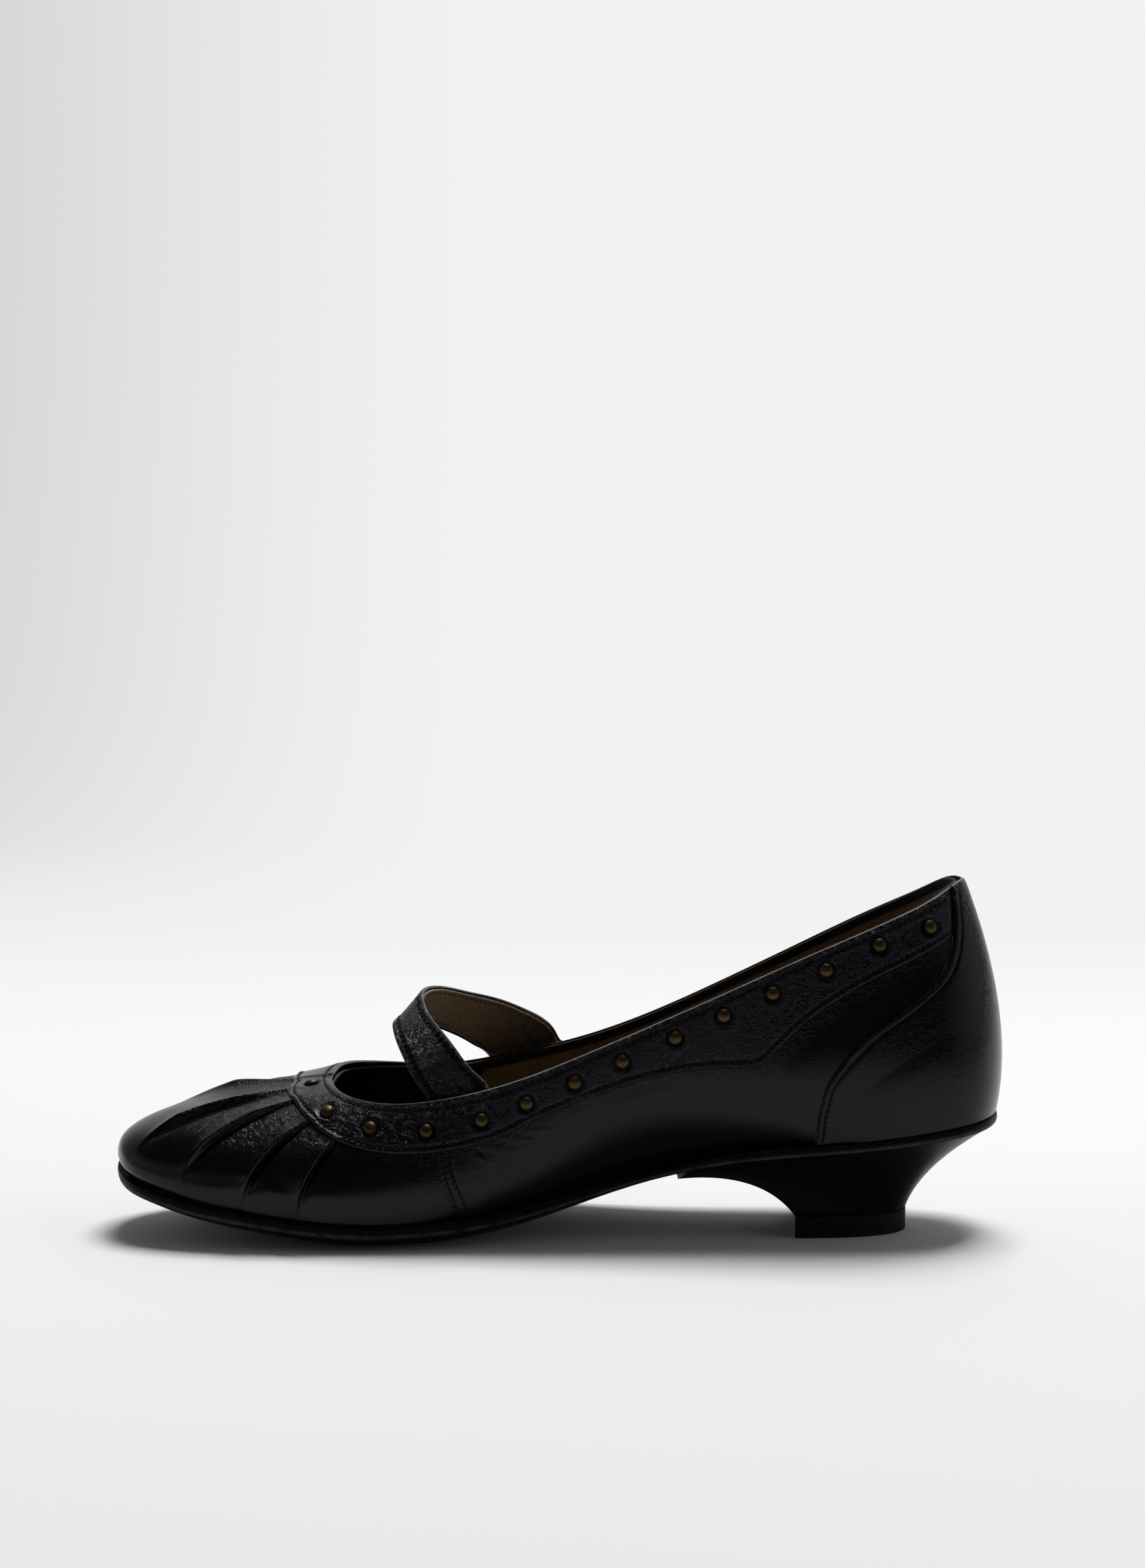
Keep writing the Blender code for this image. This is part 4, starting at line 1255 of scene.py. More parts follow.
@dataclass
class ShoeUpper:
    """Vamp and quarters in one skin, pleated over the toe and seamed at the waist."""

    wall: float = 1.0
    seam_step: float = 0.38
    pleat_columns: Sequence[float] = tuple(np.arange(-0.34, 0.305, 0.016))
    column_step: float = 0.07
    seam_columns: tuple[float, float, float] = (5.82, 6.62, 0.022)
    seam_rows: Sequence[float] = (0.7, 2.9)
    lower_rows: int = 62
    rows_under_band: Array = field(default_factory=lambda: np.array([[0.15, 0.4, 0.8, 1.0]]))
    creases: Sequence[Crease] = (
        Crease((6.75, 0.60), (7.05, 0.50), 0.7, 0.20),
        Crease((6.95, 0.63), (7.30, 0.54), 0.6, 0.18),
        Crease((7.15, 0.65), (7.55, 0.58), 0.6, 0.14),
        Crease((6.45, 0.58), (6.70, 0.47), 0.8, 0.12),
        Crease((5.0, 0.56), (5.5, 0.50), 1.2, 0.10),
        Crease((8.2, 0.60), (9.3, 0.52), 1.6, 0.10, 0.02),
        Crease((0.4, 0.62), (-0.9, 0.56), 2.2, 0.16, 0.02),
        Crease((23.1, 0.60), (22.8, 0.50), 0.7, 0.20),
        Crease((22.9, 0.63), (22.5, 0.54), 0.6, 0.16),
        Crease((3.9, 0.30), (4.3, 0.24), 1.5, 0.12),
    )

    def pleats(self, u: Array, t: Array) -> Array:
        """Height of the knife pleats, which run on under the band.

        Args:
            u: ray numbers.
            t: heights on the rays.

        Returns:
            Millimetres.
        """
        total = np.zeros(np.broadcast(u, t).shape)
        for (ray, fade_out, height, step), heelwards in pleats_all_round():
            centre = ray if heelwards > 0 else RAY_COUNT - ray
            reach = LAST.ray_width(centre, t)
            distance = heelwards * rays_apart(u, centre) * reach
            distance = np.where(distance > 0, distance / step, distance)
            gone = np.clip((t - fade_out) / PLEAT_FADE, 0, 1) ** 1.5
            narrow = 1 - 0.55 * soft_step((t - 0.80 * band_edge(u)) / (0.2 * band_edge(u)))
            fold = height * gone * narrow * table_curve(PLEAT_SECTION, distance)
            total = np.where(np.abs(fold) > np.abs(total), fold, total)
        return total

    def swell(self, u: Array, t: Array) -> Array:
        """Millimetres by which the face seems to lean out, going up from the sole, where it is drawn under.

        Args:
            u: ray numbers.
            t: heights on the rays.

        Returns:
            Millimetres.
        """
        width = np.maximum(table_curve(TUCK, outer_ray(u)), 0.01)
        up = LAST.depth_at(u, 0.0) - LAST.depth_at(u, t)
        x = np.clip(up / width, 0, 1)
        return TUCK_SLOPE * np.minimum(width / 8, 1) * width * (x - 2 * x**3 / 3 + x**5 / 5)

    def seam(self, side: int) -> Array:
        """The seam between vamp and quarter as (u, t) rows, on the medial side at 1 or the lateral at -1."""
        t = np.linspace(0.0, 0.62, 60)
        return np.stack([np.mod(side * table_curve(QUARTER_SEAM, t), RAY_COUNT), t], axis=1)

    def build(self) -> list[Piece]:
        """The skin and its seam stitches.

        Returns:
            The pieces.
        """
        half = [*np.arange(0, HEEL_RAY, self.column_step)]
        half = [u for u in half if min(abs(u - pleat[0]) for pleat in PLEATS) > self.pleat_columns[-1]]
        half = sorted({*half, *(pleat[0] + shift for pleat in PLEATS for shift in self.pleat_columns),
                       *np.arange(*self.seam_columns)})
        half = np.array([u for u, before in zip(half, [-1.0, *half]) if u - before > 0.009])
        u = np.array([*half, HEEL_RAY, *(RAY_COUNT - half[:0:-1])])[:, None]
        edge = band_edge(u)
        lower = np.linspace(0, 1, self.lower_rows) ** 0.95
        t = np.hstack([np.full_like(edge, FOOT), edge * lower[1:], edge + (1 - edge) * self.rows_under_band])
        base = LAST.surface(u, t)
        height = self.pleats(u, t)
        groove = np.zeros(t.shape)
        rows = []
        for side in (1, -1):
            seam = self.seam(side)
            heelwards = side * rays_apart(u, np.interp(t, seam[:, 1], seam[:, 0]))
            distance = heelwards * LAST.ray_width(side * 6.1, t)
            step = soft_step(distance / 0.45 + 0.5) * np.exp(-np.maximum(distance, 0) / 14)
            height += self.seam_step * step * (distance < 60) - 0.16 * hump(distance + 0.25, 0.4)
            for away in self.seam_rows:
                line = LAST.beside(seam, away * side)
                stitched = STITCHING.relief(Line.on_last(line), base)
                height += stitched
                groove = np.maximum(groove, 0.85 * np.clip(-stitched / STITCHING.channel, 0, 1) ** 2)
                rows.append(line)
        for crease in self.creases:
            height += crease.relief(base)
        height += 1.5 * hump(outer_ray(u), 2.6) * soft_step(t / 0.06) * hump(t - 0.10, 0.16)
        height += 0.08 * unevenness(base, 46.0, 1.0) + 0.016 * unevenness(base, 13.0, 2.0)
        low_edge = rounded((t - FOOT) / 0.01, 1.0)
        outer = LAST.surface(u, t, height)
        inner = LAST.surface(u, t[:, ::6], -self.wall)
        inner[:, 0], inner[:, -1] = outer[:, 0], outer[:, -1]
        rings = slab_rings(outer, inner)
        wrinkle = 0.08 + 0.45 * soft_step((t - edge + 0.16) / 0.16)
        wrinkle += 0.25 * hump(outer_ray(u) - 6.8, 1.2)
        wrinkle += 0.5 * soft_step((t - 0.22) / 0.35) * soft_step((5.2 - outer_ray(u)) / 2)
        # Painted shade in the stitch channels, the pleat troughs and along the foot of the upper.
        groove_shade_and_patina = np.maximum(groove, np.clip(-height / 0.5, 0, 1)) * (t < edge) + (1 - low_edge)
        marks = carried_round(rings, {"swell": self.swell(u, t)},
                              {"wrinkle": np.clip(wrinkle, 0, 1), "groove_shade_and_patina": np.clip(groove_shade_and_patina, 0, 1)})
        skin = dress(swept("upper_leather", rings, True, marks), Stock.UPPER, "upper")
        return [skin, sew("quarter_seam_stitches", [self.thread_line(line) for line in rows])]

    def thread_line(self, rows: Array) -> Line:
        """Where the thread lies along a seam row, below the band."""
        rows = rows[(rows[:, 1] > 0.01) & (rows[:, 1] < 0.585)]
        return Line.on_last(rows, 0.18)


@dataclass
class CollarBand:
    """The band round the topline: stitched along both edges and studded along its middle."""

    thickness: float = 1.15
    lift: float = 0.08
    top_stitch: float = 2.3
    low_stitch: float = 1.75
    column_step: float = 0.42
    seam_ray: float = 6.05
    top_rows: Sequence[float] = (0, .05, .16, .34, .58, .9, 1.25, 1.6, 1.85, 2.1, 2.35, 2.6, 2.9, 3.3, 3.8)
    low_rows: Sequence[float] = (3.8, 3.1, 2.6, 2.25, 2.0, 1.75, 1.5, 1.25, .9, .58, .34, .16, .05, 0)
    middle_rows: int = 15
    stud_radius: float = 2.08
    stud_rise: float = 1.4
    first_outer_studs: Sequence[tuple[float, float]] = ((3.72, 10.4), (4.48, 9.4), (5.20, 8.8), (5.92, 8.5))

    def columns(self) -> Array:
        """Ray numbers out from the toe, evenly spaced along the band, lateral side first.

        Returns:
            Ray numbers, below 0 on the lateral side.
        """
        out = np.linspace(0, 13.62, 3000)
        line = LAST.point(out, LAST.below_top(out, 5.0))
        reach = run_length(line)
        half = np.interp(np.arange(0, reach[-1], self.column_step), reach, out)
        half = np.append(half[:-1], [13.56, 13.60, 13.62])
        return np.concatenate([-half[:0:-1], half])

    def stud_places(self) -> tuple[Array, Array]:
        """Ray number and height of each stud's middle.

        Returns:
            Two arrays, medial side first.
        """
        low, high = STUDS_UNDER_STRAP
        outer = (*self.first_outer_studs, *STUD_PLACES[4:])
        mirrored = [(RAY_COUNT - ray, depth) for ray, depth in outer if not low < RAY_COUNT - ray < high]
        u, depth = np.array([*STUD_PLACES, *mirrored]).T
        return u, LAST.below_top(u, depth)

    def line(self, from_top: float | None, from_low: float | None) -> Array:
        """A line along the band as (u, t) rows, so far below its top edge or above its lower one.

        Args:
            from_top: millimetres below the top edge, or None.
            from_low: millimetres above the lower edge, if so.

        Returns:
            The rows.
        """
        out = np.linspace(-13.5, 13.5, 1600)
        if from_top is not None:
            return np.stack([out, LAST.below_top(out, from_top)], axis=1)
        rows = LAST.beside(np.stack([out, band_edge(out)], axis=1), -from_low)
        corner = np.array(BAND_CORNER)
        turn = LAST.below_top(corner, LAST.depth_at(corner, band_edge(BAND_CORNER)) - 1.25 * from_low)
        return rows[(np.abs(np.abs(rows[:, 0]) - BAND_CORNER) >= 0.30) | (rows[:, 1] >= turn)]

    def build(self) -> list[Piece]:
        """The band, its stitches and its studs.

        Returns:
            The pieces.
        """
        out = self.columns()[:, None]
        width = LAST.depth_at(out, band_edge(out))
        top, low = np.array(self.top_rows)[None], np.array(self.low_rows)[None]
        share = np.linspace(0, 1, self.middle_rows + 2)[None, 1:-1]
        middle = top[:, -1:] + (width - top[:, -1:] - low[:, :1]) * share
        down = np.hstack([np.broadcast_to(top, (len(out), top.size)), middle, width - low])
        t = LAST.below_top(out, down)
        end_shift = np.interp(np.abs(out), (12.6, 13.62), (0.0, 1.0))
        u = out + np.sign(out) * end_shift * (table_curve(COUNTER_EDGE, t) - 0.012 - 13.62)
        base = LAST.surface(u, t)
        from_low = width - down
        height = self.relief(u, t, base, down, from_low)
        end = LAST.ray_width(out, t) * (13.62 - np.abs(out))
        height *= 0.35 + 0.65 * soft_step(end / 3.0)
        edge_share = rounded(down, 0.55) * rounded(from_low, 0.6) * rounded(end, 0.4)
        outer = LAST.surface(u, t, self.lift + 0.3 + (height - 0.3) * edge_share)
        inner_share = (rounded(down, 0.2) * rounded(from_low, 0.2) * rounded(end, 0.2))[:, ::7]
        inner = LAST.surface(u[:, ::7], t[:, ::7], self.lift + 0.3 - 0.3 * inner_share)
        close_ends(outer, inner, 7)
        rings = slab_rings(outer, inner)
        edge = np.maximum(1.0 * (down < 0.3), 0.5 * hump(down, 0.5))
        wrinkle = 0.45 + 0.4 * hump(down - 2.0, 2.5) + 0.25 * hump(np.abs(out) - 9.5, 2.2)
        # Painted shade where the face sinks: stitch channels, stud seats and seams.
        groove_shade_and_patina = np.clip((self.thickness - height) / 0.32 - 0.35, 0, 1) * (down > 0.8) * (from_low > 0.8)
        marks = carried_round(rings, {"edge": edge}, {"wrinkle": np.clip(wrinkle, 0, 1), "groove_shade_and_patina": groove_shade_and_patina})
        skin = dress(swept("collar_band_leather", rings, False, marks), Stock.BAND, "collar_band")
        thread = self.lift + self.thickness - 0.05
        lines = [Line.on_last(self.line(self.top_stitch, None), thread),
                 Line.on_last(self.line(None, self.low_stitch), thread)]
        return [skin, sew("collar_band_stitches", lines), self.build_studs()]

    def relief(self, u: Array, t: Array, base: Array, down: Array, from_low: Array) -> Array:
        """Height of the band's face above its underside: stitch channels, stud seats, folds and seams.

        Args:
            u: ray numbers.
            t: heights on the rays.
            base: the same places in millimetres.
            down: millimetres below the top edge.
            from_low: millimetres above the lower edge.

        Returns:
            Millimetres.
        """
        height = np.full(down.shape, self.thickness)
        height += STITCHING.relief(Line.on_last(self.line(self.top_stitch, None)), base)
        height += STITCHING.relief(Line.on_last(self.line(None, self.low_stitch)), base)
        height -= 0.12 * hump(from_low, 1.4) + 0.10 * hump(down, 1.6)
        for seat in LAST.point(*self.stud_places()):
            away = np.linalg.norm(base - seat, axis=-1)
            height += (-0.34 * hump(away - 2.42, 0.34) - 0.3 * (away < 2.1) + 0.16 * hump(away - 3.6, 0.9))
        for side in (1, -1):
            seam = np.stack([np.full(30, side * self.seam_ray), np.linspace(0.57, 1.0, 30)], axis=1)
            distance, _ = Line.on_last(seam).near(base, 3.0)
            height += -0.22 * hump(distance, 0.4) + 0.07 * hump(distance - 1.1, 0.5)
        lower = hump(from_low, 2.2)
        for (ray, _, pleat, _), side in pleats_all_round():
            centre = np.mod(side * (ray - 0.06), RAY_COUNT)
            reach = LAST.ray_width(centre, t)
            away = rays_apart(u, centre) * reach
            height += 0.25 * min(pleat, 2.0) * lower * hump(away, 2.5)
        height += 0.03 * unevenness(base, 17.0, 4.0) + 0.014 * unevenness(base, 5.2, 5.0)
        return height

    def build_studs(self) -> Piece:
        """Domed studs with a turned-in foot, one joined piece.

        Returns:
            The piece.
        """
        master = new_primitive(bpy.ops.mesh.primitive_uv_sphere_add, "stud_one", segments=28, ring_count=18,
                               radius=self.stud_radius)
        upper_half = {"plane_co": (0, 0, 0), "plane_no": (0, 0, 1), "use_fill": True, "clear_inner": True}
        in_edit_mode(master, lambda: bpy.ops.mesh.bisect(**upper_half))
        points = corners(master)
        out = np.hypot(points[:, 0], points[:, 1]) / self.stud_radius
        points[:, 2] = np.where(points[:, 2] > 1e-6, self.stud_rise * np.sqrt(np.clip(1 - out**2.5, 0, 1)), 0.0)
        master.data.vertices.foreach_set("co", points.ravel())
        # Patina round the foot of each stud, kept in the same mask as the leather's painted shade.
        paint(master, "groove_shade_and_patina", soft_step((out - 0.62) / 0.38))
        u, t = self.stud_places()
        normal = LAST.normal(u, t)
        run = LAST.point(u + 0.02, t) - LAST.point(u - 0.02, t)
        studs = copies("collar_studs", master, LAST.surface(u, t, self.lift + self.thickness - 0.28),
                       axes_from(run, normal))
        names = [f"stud_{number:02d}" for number in range(1, len(u) + 1)]
        return dress(studs, Stock.BRASS, *names, crisp=60.0)


@dataclass
class HeelCounter:
    """The counter that wraps the heel, lapped over the quarters and stitched along its front edge."""

    thickness: float = 1.25
    lift: float = 0.08
    stitch_inset: float = 2.1
    near_edge: Sequence[float] = (0, .05, .15, .32, .55, .85, 1.2, 1.5, 1.8, 2.1, 2.4, 2.7, 3.1, 3.7)
    middle_columns: int = 150
    rows: int = 96

    def edge_rows(self, side: int, low: float = 0.0, high: float = 1.0) -> Array:
        """The front edge as (u, t) rows from the sole up, on one side."""
        t = np.linspace(low, high, 300)
        return np.stack([np.mod(side * table_curve(COUNTER_EDGE, t), RAY_COUNT), t], axis=1)

    def build(self) -> list[Piece]:
        """The counter and its stitches.

        Returns:
            The pieces.
        """
        t = np.linspace(FOOT, 1.0, self.rows)[None, :]
        front = table_curve(COUNTER_EDGE, np.clip(t, 0, 1))
        per_ray = LAST.ray_width(front, t)
        near = front + np.array(self.near_edge)[:, None] / per_ray
        other = RAY_COUNT - near
        share = np.linspace(0, 1, self.middle_columns + 2)[1:-1, None]
        u = np.vstack([near, near[-1:] + (other[-1:] - near[-1:]) * share, other[::-1]])
        t = np.broadcast_to(t, u.shape)
        base = LAST.surface(u, t)
        edges = [Line.on_last(self.edge_rows(side)) for side in (1, -1)]
        from_edge = np.minimum(*(edge.near(base, 6.0)[0] for edge in edges))
        from_top = LAST.depth_at(u, t)
        lines = self.stitch_lines()
        height = np.full(u.shape, self.thickness)
        for line in lines:
            height += STITCHING.relief(Line.on_last(line), base)
        groove = np.clip((self.thickness - height) / 0.32 - 0.2, 0, 1)
        thin = soft_step((t - 0.02) / 0.5)
        height *= 0.45 + 0.55 * np.maximum(thin, soft_step((from_edge - 3) / 14))
        height -= 0.22 * hump(from_top, 1.3)
        height += 0.03 * unevenness(base, 40.0, 7.0) + 0.012 * unevenness(base, 12.0, 8.0)
        foot = (t - FOOT) * 60
        share = rounded(from_edge, 0.55) * rounded(from_top, 0.6) * rounded(foot, 0.3)
        outer = LAST.surface(u, t, self.lift + 0.25 + (height - 0.25) * share)
        inner = LAST.surface(u[:, ::8], t[:, ::8], self.lift + 0.25 * (1 - np.sign(share[:, ::8])))
        close_ends(outer, inner, 8)
        rings = slab_rings(outer, inner)
        edge = np.maximum(1.0 * (from_top < 0.3), 0.45 * hump(from_top, 0.5))
        wrinkle = 0.2 + 0.5 * hump(from_top, 18.0) + 0.15 * hump(t - 0.5, 0.12)
        # Painted shade in the stitch channels and along the foot of the counter.
        groove_shade_and_patina = np.maximum(groove, np.clip(1 - foot / 0.5, 0, 1))
        marks = carried_round(rings, {"edge": edge}, {"wrinkle": np.clip(wrinkle, 0, 1), "groove_shade_and_patina": groove_shade_and_patina})
        skin = dress(swept("heel_counter_leather", rings, False, marks), Stock.COUNTER, "heel_counter")
        heights = (0.55 if line[:, 1].max() < 0.5 else 0.86 for line in lines)
        thread = [Line.on_last(line, self.lift + height) for line, height in zip(lines, heights)]
        return [skin, sew("heel_counter_stitches", thread)]

    def stitch_lines(self) -> list[Array]:
        """Two rows low down and one above, on each side, as (u, t) rows.

        Returns:
            The rows.
        """
        lines = []
        for side in (1, -1):
            whole = self.edge_rows(side)
            lines.append(LAST.beside(whole, side * self.stitch_inset)[8:-6])
            lines.append(LAST.beside(self.edge_rows(side, 0.0, 0.42), side * 0.45)[8:])
        return lines


@dataclass
class InstepStrap:
    """The strap over the instep: black outside, lined in tan, sewn inside the near wall."""

    leather: float = 1.05
    lining: float = 0.7
    fine: int = 16
    across: int = 46
    stitch_inset: float = 2.0
    lining_inset: float = 0.9

    def run(self, across: Array) -> tuple[Array, Array]:
        """The strap's middle surface, smoothed along its run, and its outward normal.

        Args:
            across: shares of the way across.

        Returns:
            Points and normals, row by row.
        """
        inner, free, outer = ([np.outer(1 - across, front) + np.outer(across, rear) for front, rear in part]
                              for part in (STRAP_INNER_END, STRAP_FREE_RUN, STRAP_OUTER_END))
        rows = np.array([*(LAST.surface(*place.T, -3.1) for place in inner), *free,
                         *(LAST.surface(*place.T, 2.7) for place in outer)])
        count = len(rows)
        flat = rows.reshape(count, -1)
        gaps = np.linalg.norm(np.diff(flat, axis=0), axis=1)
        system, target = np.eye(count), np.zeros_like(flat)
        for i in range(1, count - 1):
            system[i, i - 1:i + 2] = gaps[i - 1] / 6, (gaps[i - 1] + gaps[i]) / 3, gaps[i] / 6
            target[i] = (flat[i + 1] - flat[i]) / gaps[i] - (flat[i] - flat[i - 1]) / gaps[i - 1]
        bends = np.linalg.solve(system, target)
        made = []
        for i, gap in enumerate(gaps):
            for b in np.arange(self.fine) / self.fine:
                a = 1 - b
                curve = ((a**3 - a) * bends[i] + (b**3 - b) * bends[i + 1]) * gap**2 / 6
                made.append(a * flat[i] + b * flat[i + 1] + curve)
        made.append(flat[-1])
        middle = np.array(made).reshape(-1, *rows.shape[1:])
        normal = np.cross(np.gradient(middle, axis=1), np.gradient(middle, axis=0))
        return middle, unit(normal)

    def layer(self, name: str, low: float, high: float, inset: float, stock: Stock, *nodes: str) -> Piece:
        """One layer of the strap between two heights above its middle, cut back by an inset.

        Args:
            name: the piece's name.
            low: height of the face towards the foot.
            high: height of the other face.
            inset: millimetres cut back at both edges.
            stock: its finish.
            nodes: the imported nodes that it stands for.

        Returns:
            The piece.
        """
        across = np.concatenate([[0, 0.003, 0.012, 0.03, 0.055], np.linspace(0.08, 0.92, self.across),
                                 [0.945, 0.97, 0.988, 0.997, 1]])
        middle, normal = self.run(across)
        width = np.linalg.norm(middle[:, -1] - middle[:, 0], axis=-1)[:, None]
        from_front, from_rear = across * width, (1 - across) * width
        along = run_length(middle[:, len(across) // 2])
        from_end = np.minimum(along, along[-1] - along)[:, None]
        if inset:
            pull = (inset - from_front.clip(0, inset)) - (inset - from_rear.clip(0, inset))
            side = (middle[:, -1] - middle[:, 0]) / width
            middle = middle + pull[..., None] * side[:, None]
        from_edge = np.minimum(from_front, from_rear)
        share = rounded(from_edge, 0.5) * rounded(from_end, 0.5)
        face = np.full(from_edge.shape, high)
        crease = self.creases(along[:, None], across[None])
        if high > 0:
            wave = np.cos(2 * math.pi * along / STITCHING.pitch)[:, None]
            inside = from_edge - self.stitch_inset
            face += STITCHING.channel * (-hump(inside, 0.6) - 0.6 * wave * hump(inside, 0.9))
            face += 0.10 * hump(from_edge - 0.9, 0.5)
        centre = (low + high) / 2
        crease = crease * share
        top = middle + normal * (centre + (face - centre) * share + crease)[..., None]
        bottom = middle + normal * (centre + (low - centre) * share + crease)[..., None]
        rings = slab_rings(top, bottom)
        edge = 1.0 * (share < 0.75) * (from_end > 1.5)
        to_end = along[-1] - along[:, None]
        wrinkle = np.clip(0.5 + 0.5 * hump(along[:, None] - 24, 12) + 0.3 * hump(to_end - 26, 9), 0, 1)
        # Painted shade on the lining, darkest towards the strap's far end.
        wear_and_shade = 0.25 + 1.0 * hump(to_end - 18, 14)
        # Painted shade in the stitch channels.
        groove_shade_and_patina = 0.9 * hump(from_edge - self.stitch_inset, 0.45)
        marks = {}
        for mark, values in (("edge", edge), ("wrinkle", wrinkle), ("wear_and_shade", wear_and_shade), ("groove_shade_and_patina", groove_shade_and_patina)):
            values = np.broadcast_to(values, edge.shape)
            marks[mark] = slab_rings(values, values)
        return dress(swept(name, rings, False, marks), stock, *nodes)

    def creases(self, along: Array, across: Array) -> Array:
        """Folds across the strap: fine near its inner end, deep where it bends over the outer wall.

        Args:
            along: millimetres from the inner end.
            across: shares of the way across.

        Returns:
            Millimetres, below 0 in a fold.
        """
        total = np.zeros(np.broadcast(along, across).shape)
        for at, slope, width, depth in ((19, 3.0, 0.9, 0.16), (23, -2.0, 0.8, 0.14), (27, 2.2, 0.9, 0.12),
                                        (31, -3.0, 1.1, 0.12), (38, 2.5, 1.3, 0.10), (72, 4.0, 1.6, 0.16),
                                        (78, 6.0, 1.1, 0.30), (81.5, 7.0, 0.9, 0.34), (84.5, 5.0, 1.0, 0.26)):
            total -= depth * hump(along - at - slope * (across - 0.5), width) * np.sin(math.pi * across) ** 0.5
        return total + 0.06 * np.sin(along / 4.1 + 3 * across) * np.sin(2.6 * across + 0.5)

    def stitch_line(self, inset: float, height: float, front: bool) -> Line:
        """A stitch row so far inside one edge.

        Args:
            inset: millimetres from the edge.
            height: millimetres above the strap's middle.
            front: whether the edge is the front one.

        Returns:
            The row.
        """
        across = np.linspace(0, 1, 41)
        middle, normal = self.run(across)
        width = np.linalg.norm(middle[:, -1] - middle[:, 0], axis=-1)
        share = inset / width if front else 1 - inset / width
        low = np.floor(share * 40).astype(int)
        beyond = (share * 40 - low)[:, None]
        index = np.arange(len(middle))
        points = middle[index, low] * (1 - beyond) + middle[index, low + 1] * beyond
        normals = normal[index, low]
        along = run_length(points)
        stops = np.linspace(1.5, along[-1] - 1.5, 900)
        points, normals = (resampled(stops, along, part) for part in (points, normals))
        return Line(points + height * normals, normals)

    def build(self) -> list[Piece]:
        """Both layers and the stitches on their faces.

        Returns:
            The pieces.
        """
        outside = self.layer("strap_leather", 0.0, self.leather, 0.0, Stock.STRAP, "strap")
        inside = self.layer("strap_lining", -self.lining, -0.04, self.lining_inset, Stock.LINING)
        over = [self.stitch_line(self.stitch_inset, self.leather - 0.06, front) for front in (True, False)]
        under = [self.stitch_line(self.stitch_inset, -self.lining - 0.02, front) for front in (True, False)]
        return [outside, inside, sew("strap_stitches", over),
                sew("strap_lining_stitches", under, Stock.BROWN_THREAD)]


